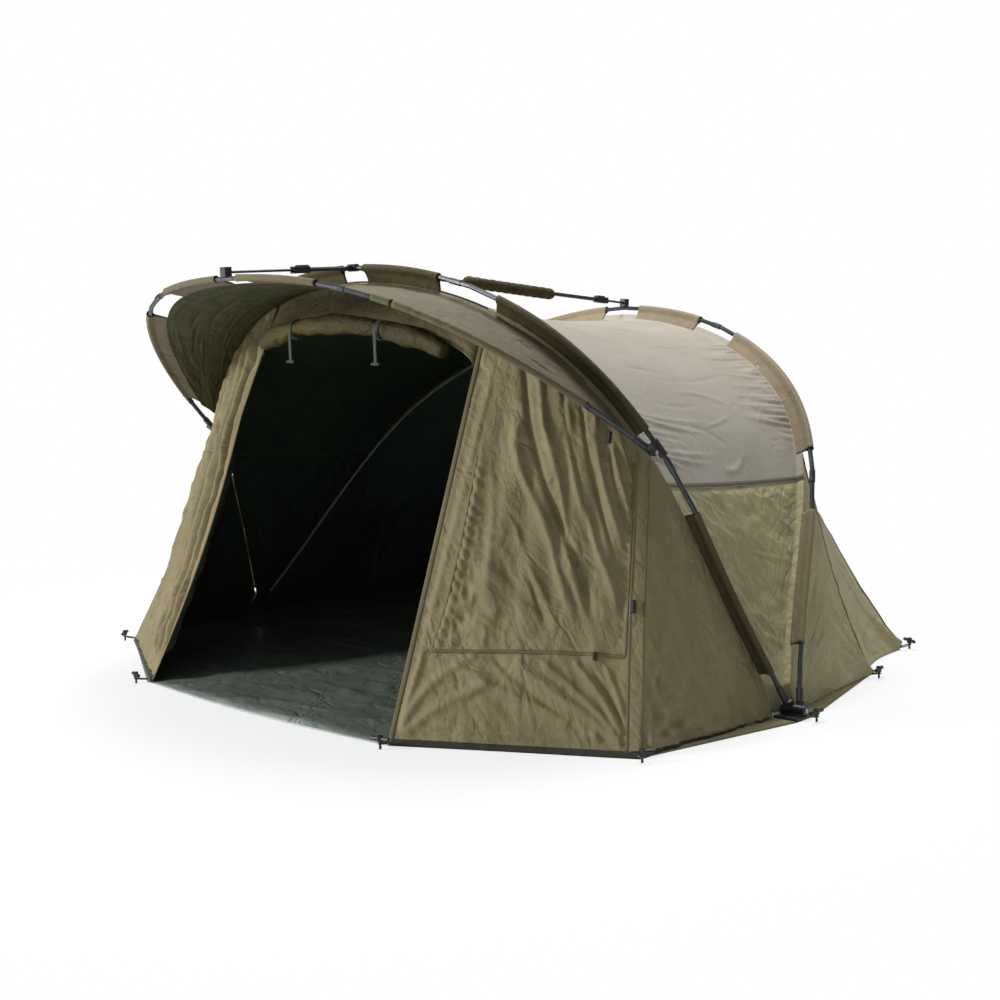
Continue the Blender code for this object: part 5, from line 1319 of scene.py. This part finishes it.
def makeRoll(lower):
    # A tube carried along the header's lower line and smaller at its ends. It is loosely rolled: pinched
    # under the ties, in lumps between, with creases that wind along it.
    radius, margin = doorway["rollRadius"], doorway["rollMargin"]
    away = (frontRib["ahead"] * (radius + doorway["rollClear"])
            - frontRib["rise"] * radius * doorway["rollDrop"])
    middle = lower(np.linspace(margin, 1 - margin, doorway["rollRows"])) + away
    at = pathLength(middle)
    middle = alongLine(middle, at, np.linspace(0, at[-1], doorway["rollRows"]))
    share = np.linspace(0, 1, len(middle))
    ends = np.minimum(1, np.minimum(share, 1 - share) / doorway["rollTaper"]) ** 0.5
    size = radius * (doorway["rollEnd"] + (1 - doorway["rollEnd"]) * ends)
    angle = np.linspace(0, 2 * np.pi, doorway["rollSides"], endpoint=False)
    along = unit(np.gradient(middle, axis=0))
    side = unit(np.cross(along, frontRib["ahead"]))
    front = np.cross(side, along)
    s, w = share[:, None] * doorway["length"] + 0 * angle, angle[None] * radius
    turned = np.cos(angle)[None]
    pinch = sum(bell(share, tie, doorway["tieWidth"]) for tie in doorway["ties"])
    turns, drift, wander = doorway["turns"]
    winding = np.sin(angle * turns + s * drift + wander * softNoise(s, w * 0 + 1, 0.12, 93))
    broad = softNoise(s, turned * 0.03 + 1, 0.09, 95)
    sharp = crumples(s, turned * 0.04 + 2, 0.04, 96)
    skewed = crumples(s * 0.6, w + 1, 0.05, 98)
    lumps = (1 + doorway["broad"] * broad + doorway["sharp"] * sharp + doorway["sharp"] * skewed
             + doorway["winding"] * winding - doorway["pinch"] * pinch[:, None])
    wide = size[:, None] * np.clip(lumps, *doorway["lumpLimits"])
    points = (middle[:, None] + side[:, None] * (wide * np.cos(angle))[..., None]
              + front[:, None] * (wide * np.sin(angle))[..., None])
    # The roll's cloth is darkened with painted shade.
    roll = addTube("door_bundle", points, "rollInShade")
    foldAway(roll)
    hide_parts("door_roll")


upperLine, lowerLine = headerLines()
makeHeader(upperLine, lowerLine)
makeRoll(lowerLine)
print("doorway made")

# Groundsheet, with a skirt from the cloth's foot out to its edge beside each hub

sheet = {
    "within": 0.9985, "thickness": 0.0026, "rows": 240, "columns": 150, "bulge": 0.040, "height": 0.0016,
    "broad": (0.17, 101, 0.1, 0.012), "narrow": (0.07, 103, 0.0, 0.005), "outFrom": (0, 0, -5),
}
skirt = {"rows": 60, "columns": 5, "hubGap": 0.004, "height": 0.0052, "fall": 0.0010, "thickness": 0.0012}


def hemLine(right, u):
    # A broken line round the front or the back, from the right hub to the left.
    return alongLine(right + [(-x, y) for x, y in right[::-1]], rearWall["marks"], u)


def makeGroundsheet():
    # Straight rulings from the front hem, which bulges out before the doorway, to the back one. It rises
    # in crumples that fade out towards its rim.
    u, v = gridOf(sheet["rows"], sheet["columns"])
    hubX, hubY = plan["hub"]
    front = hemLine([(hubX, -hubY), plan["corner"], plan["door"]], u)
    back = drawnIn(hemLine([(hubX, hubY), plan["side"], plan["rear"]], u), u)
    front[..., 1] -= sheet["bulge"] * np.sin(np.pi * np.clip((u - 0.36) / 0.28, 0, 1))
    flat = (front + (back - front) * v[..., None]) * sheet["within"]
    x, y = flat[..., 0], flat[..., 1]
    fromFront = smoothStep(v, 0, np.where(np.abs(u - 0.5) < 0.13, 0.02, 0.25))
    rim = fromFront * smoothStep(1 - v, 0, 0.2) * smoothStep(np.minimum(u, 1 - u), 0.02, 0.18)
    cell, seed, floor, height = sheet["broad"]
    swell = np.maximum(0, crumples(x * 0.6, y, cell, seed) - floor) * height
    cell, seed, floor, height = sheet["narrow"]
    swell += np.maximum(0, crumples(x * 0.8, y, cell, seed) - floor) * height
    points = np.stack([x, y, sheet["height"] + swell * rim], -1)
    piece = layCloth("groundsheet_skin", points, "floorVinyl", flat, sheet["outFrom"],
                     thickness=sheet["thickness"])
    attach(piece, "root")
    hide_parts("groundsheet")


def makeSkirt(place, sign, corner, side, mirror):
    # Straight rulings from the cloth's foot line out to the groundsheet's edge, from the hub on.
    hub = np.array((plan["hub"][0] - skirt["hubGap"], plan["hub"][1] * sign))
    seam = np.array((plan["hubSeam"][0], plan["hubSeam"][1] * sign))
    t, w = gridOf(skirt["rows"], skirt["columns"])
    inner = seam + (corner - seam) * t[..., None]
    edge = hub + (corner - hub) * t[..., None]
    flat = inner + (edge - inner) * w[..., None]
    strip = np.stack([flat[..., 0] * mirror, flat[..., 1], skirt["height"] - skirt["fall"] * w], -1)
    piece = layCloth("skirt_%s_%s" % (place, side), strip, "wallCloth",
                     outFrom=sheet["outFrom"], thickness=skirt["thickness"])
    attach(piece, "root")


makeGroundsheet()
for side, mirror in (("right", 1), ("left", -1)):
    makeSkirt("front", -1, np.array(plan["corner"]), side, mirror)
    makeSkirt("rear", 1, np.array(plan["side"]), side, mirror)
print("groundsheet made")

# Quilted cover on the rear bar, and elastic loops from the cloth's corners to the pegs

cover = {
    "radius": 0.0235, "quilts": 12, "rows": 240, "sides": 36, "puff": 0.12, "endGap": 0.002, "endSize": 0.86,
    "endShare": 0.03, "crumple": (0.03, 0.035, 111, 0.03),
}
pegLoops = {"cord": 0.0022, "width": 0.016, "past": 0.007, "low": 0.010, "rise": 0.009, "sides": 10,
            "rows": 48}


def makeCover():
    # A tube along the bar, which runs in the YZ plane, so that its slope is that of its own box. Its
    # radius swells between even rows of stitches and draws in at both ends.
    (_, lowY, lowZ), (_, highY, highZ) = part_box("rear_bar_tube")
    low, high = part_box("rear_bar_cover")
    along = unit(np.array((0, 1, -(highZ - lowZ) / (highY - lowY))))
    reach = (high[1] - low[1]) / 2 / along[1] - cover["endGap"]
    t = np.linspace(-reach, reach, cover["rows"])[:, None]
    angle = np.linspace(0, 2 * np.pi, cover["sides"], endpoint=False)[None]
    s = (t + reach) / (2 * reach)
    quilt = np.abs(np.sin(np.pi * cover["quilts"] * s)) ** 0.6
    wide, cell, seed, height = cover["crumple"]
    creases = crumples(t + 0 * angle, np.cos(angle) * wide, cell, seed) * height
    size = cover["radius"] * (1 - cover["puff"] + cover["puff"] * quilt + creases)
    ends = smoothStep(np.minimum(s, 1 - s), 0, cover["endShare"])
    size = size * (cover["endSize"] + (1 - cover["endSize"]) * ends)
    points = (middleOf("rear_bar_cover") + along * t[..., None] + across * (size * np.cos(angle))[..., None]
              + np.cross(along, across) * (size * np.sin(angle))[..., None])
    # The cover shares the roll's cloth, darkened with painted shade.
    piece = addTube("bar_cover_skin", points, "rollInShade")
    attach(piece, "rear_bar")
    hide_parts("rear_bar_cover")


def makeLoop(name):
    # A round cord carried along an ellipse from just behind the corner to just past the peg, higher there.
    peg = middleOf(name)
    key = name.split("_")[1]
    corner = np.array((*plan[key], 0)) * (math.copysign(1, peg[0]), 1, 1)
    if key == "hub":
        corner[1] = 0
    reach = np.linalg.norm(peg[:2] - corner[:2])
    heading = unit((peg - corner) * (1, 1, 0))
    sideways = np.cross(upward, heading)
    t = np.linspace(0, 2 * np.pi, pegLoops["rows"], endpoint=False)
    rise = pegLoops["low"] + pegLoops["rise"] * (1 + np.cos(t)) / 2
    middle = (corner + heading * (reach / 2 + (reach / 2 + pegLoops["past"]) * np.cos(t))[:, None]
              + sideways * (pegLoops["width"] / 2 * np.sin(t))[:, None] + upward * rise[:, None])
    along = unit(np.roll(middle, -1, 0) - np.roll(middle, 1, 0))
    out = unit(np.cross(along, upward))
    up = np.cross(out, along)
    angle = np.linspace(0, 2 * np.pi, pegLoops["sides"], endpoint=False)[None, :, None]
    points = middle[:, None] + pegLoops["cord"] * (out[:, None] * np.cos(angle) + up[:, None] * np.sin(angle))
    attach(addTube("loop_" + name[4:], points, "greenCord", ring=True), "root")


makeCover()
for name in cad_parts:
    if name.startswith("peg_"):
        makeLoop(name)
print("cover and peg loops made")

# Frame nodes that stay, with their own finishes. Small trims on the front cloth get meshes of their own.

nodeFinish = {"pole_metal": "poleAlloy", "black_plastic": "blackNylon", "steel": "steelPin",
              "webbing": "trimWebbing", "wall_cloth": "wallCloth"}
trims = ("toggle_lower", "toggle_upper", "door_tie_left", "door_tie_right", "door_zip_slider_left",
         "door_zip_slider_right", "window_zip_slider")
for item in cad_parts.values():
    for slot in item.material_slots:
        known = slot.material.name.split(".")[0] if slot.material else ""
        if known in nodeFinish:
            slot.material = materials[nodeFinish[known]]
for name in trims:
    flatten(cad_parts[name])
print("frame finished")
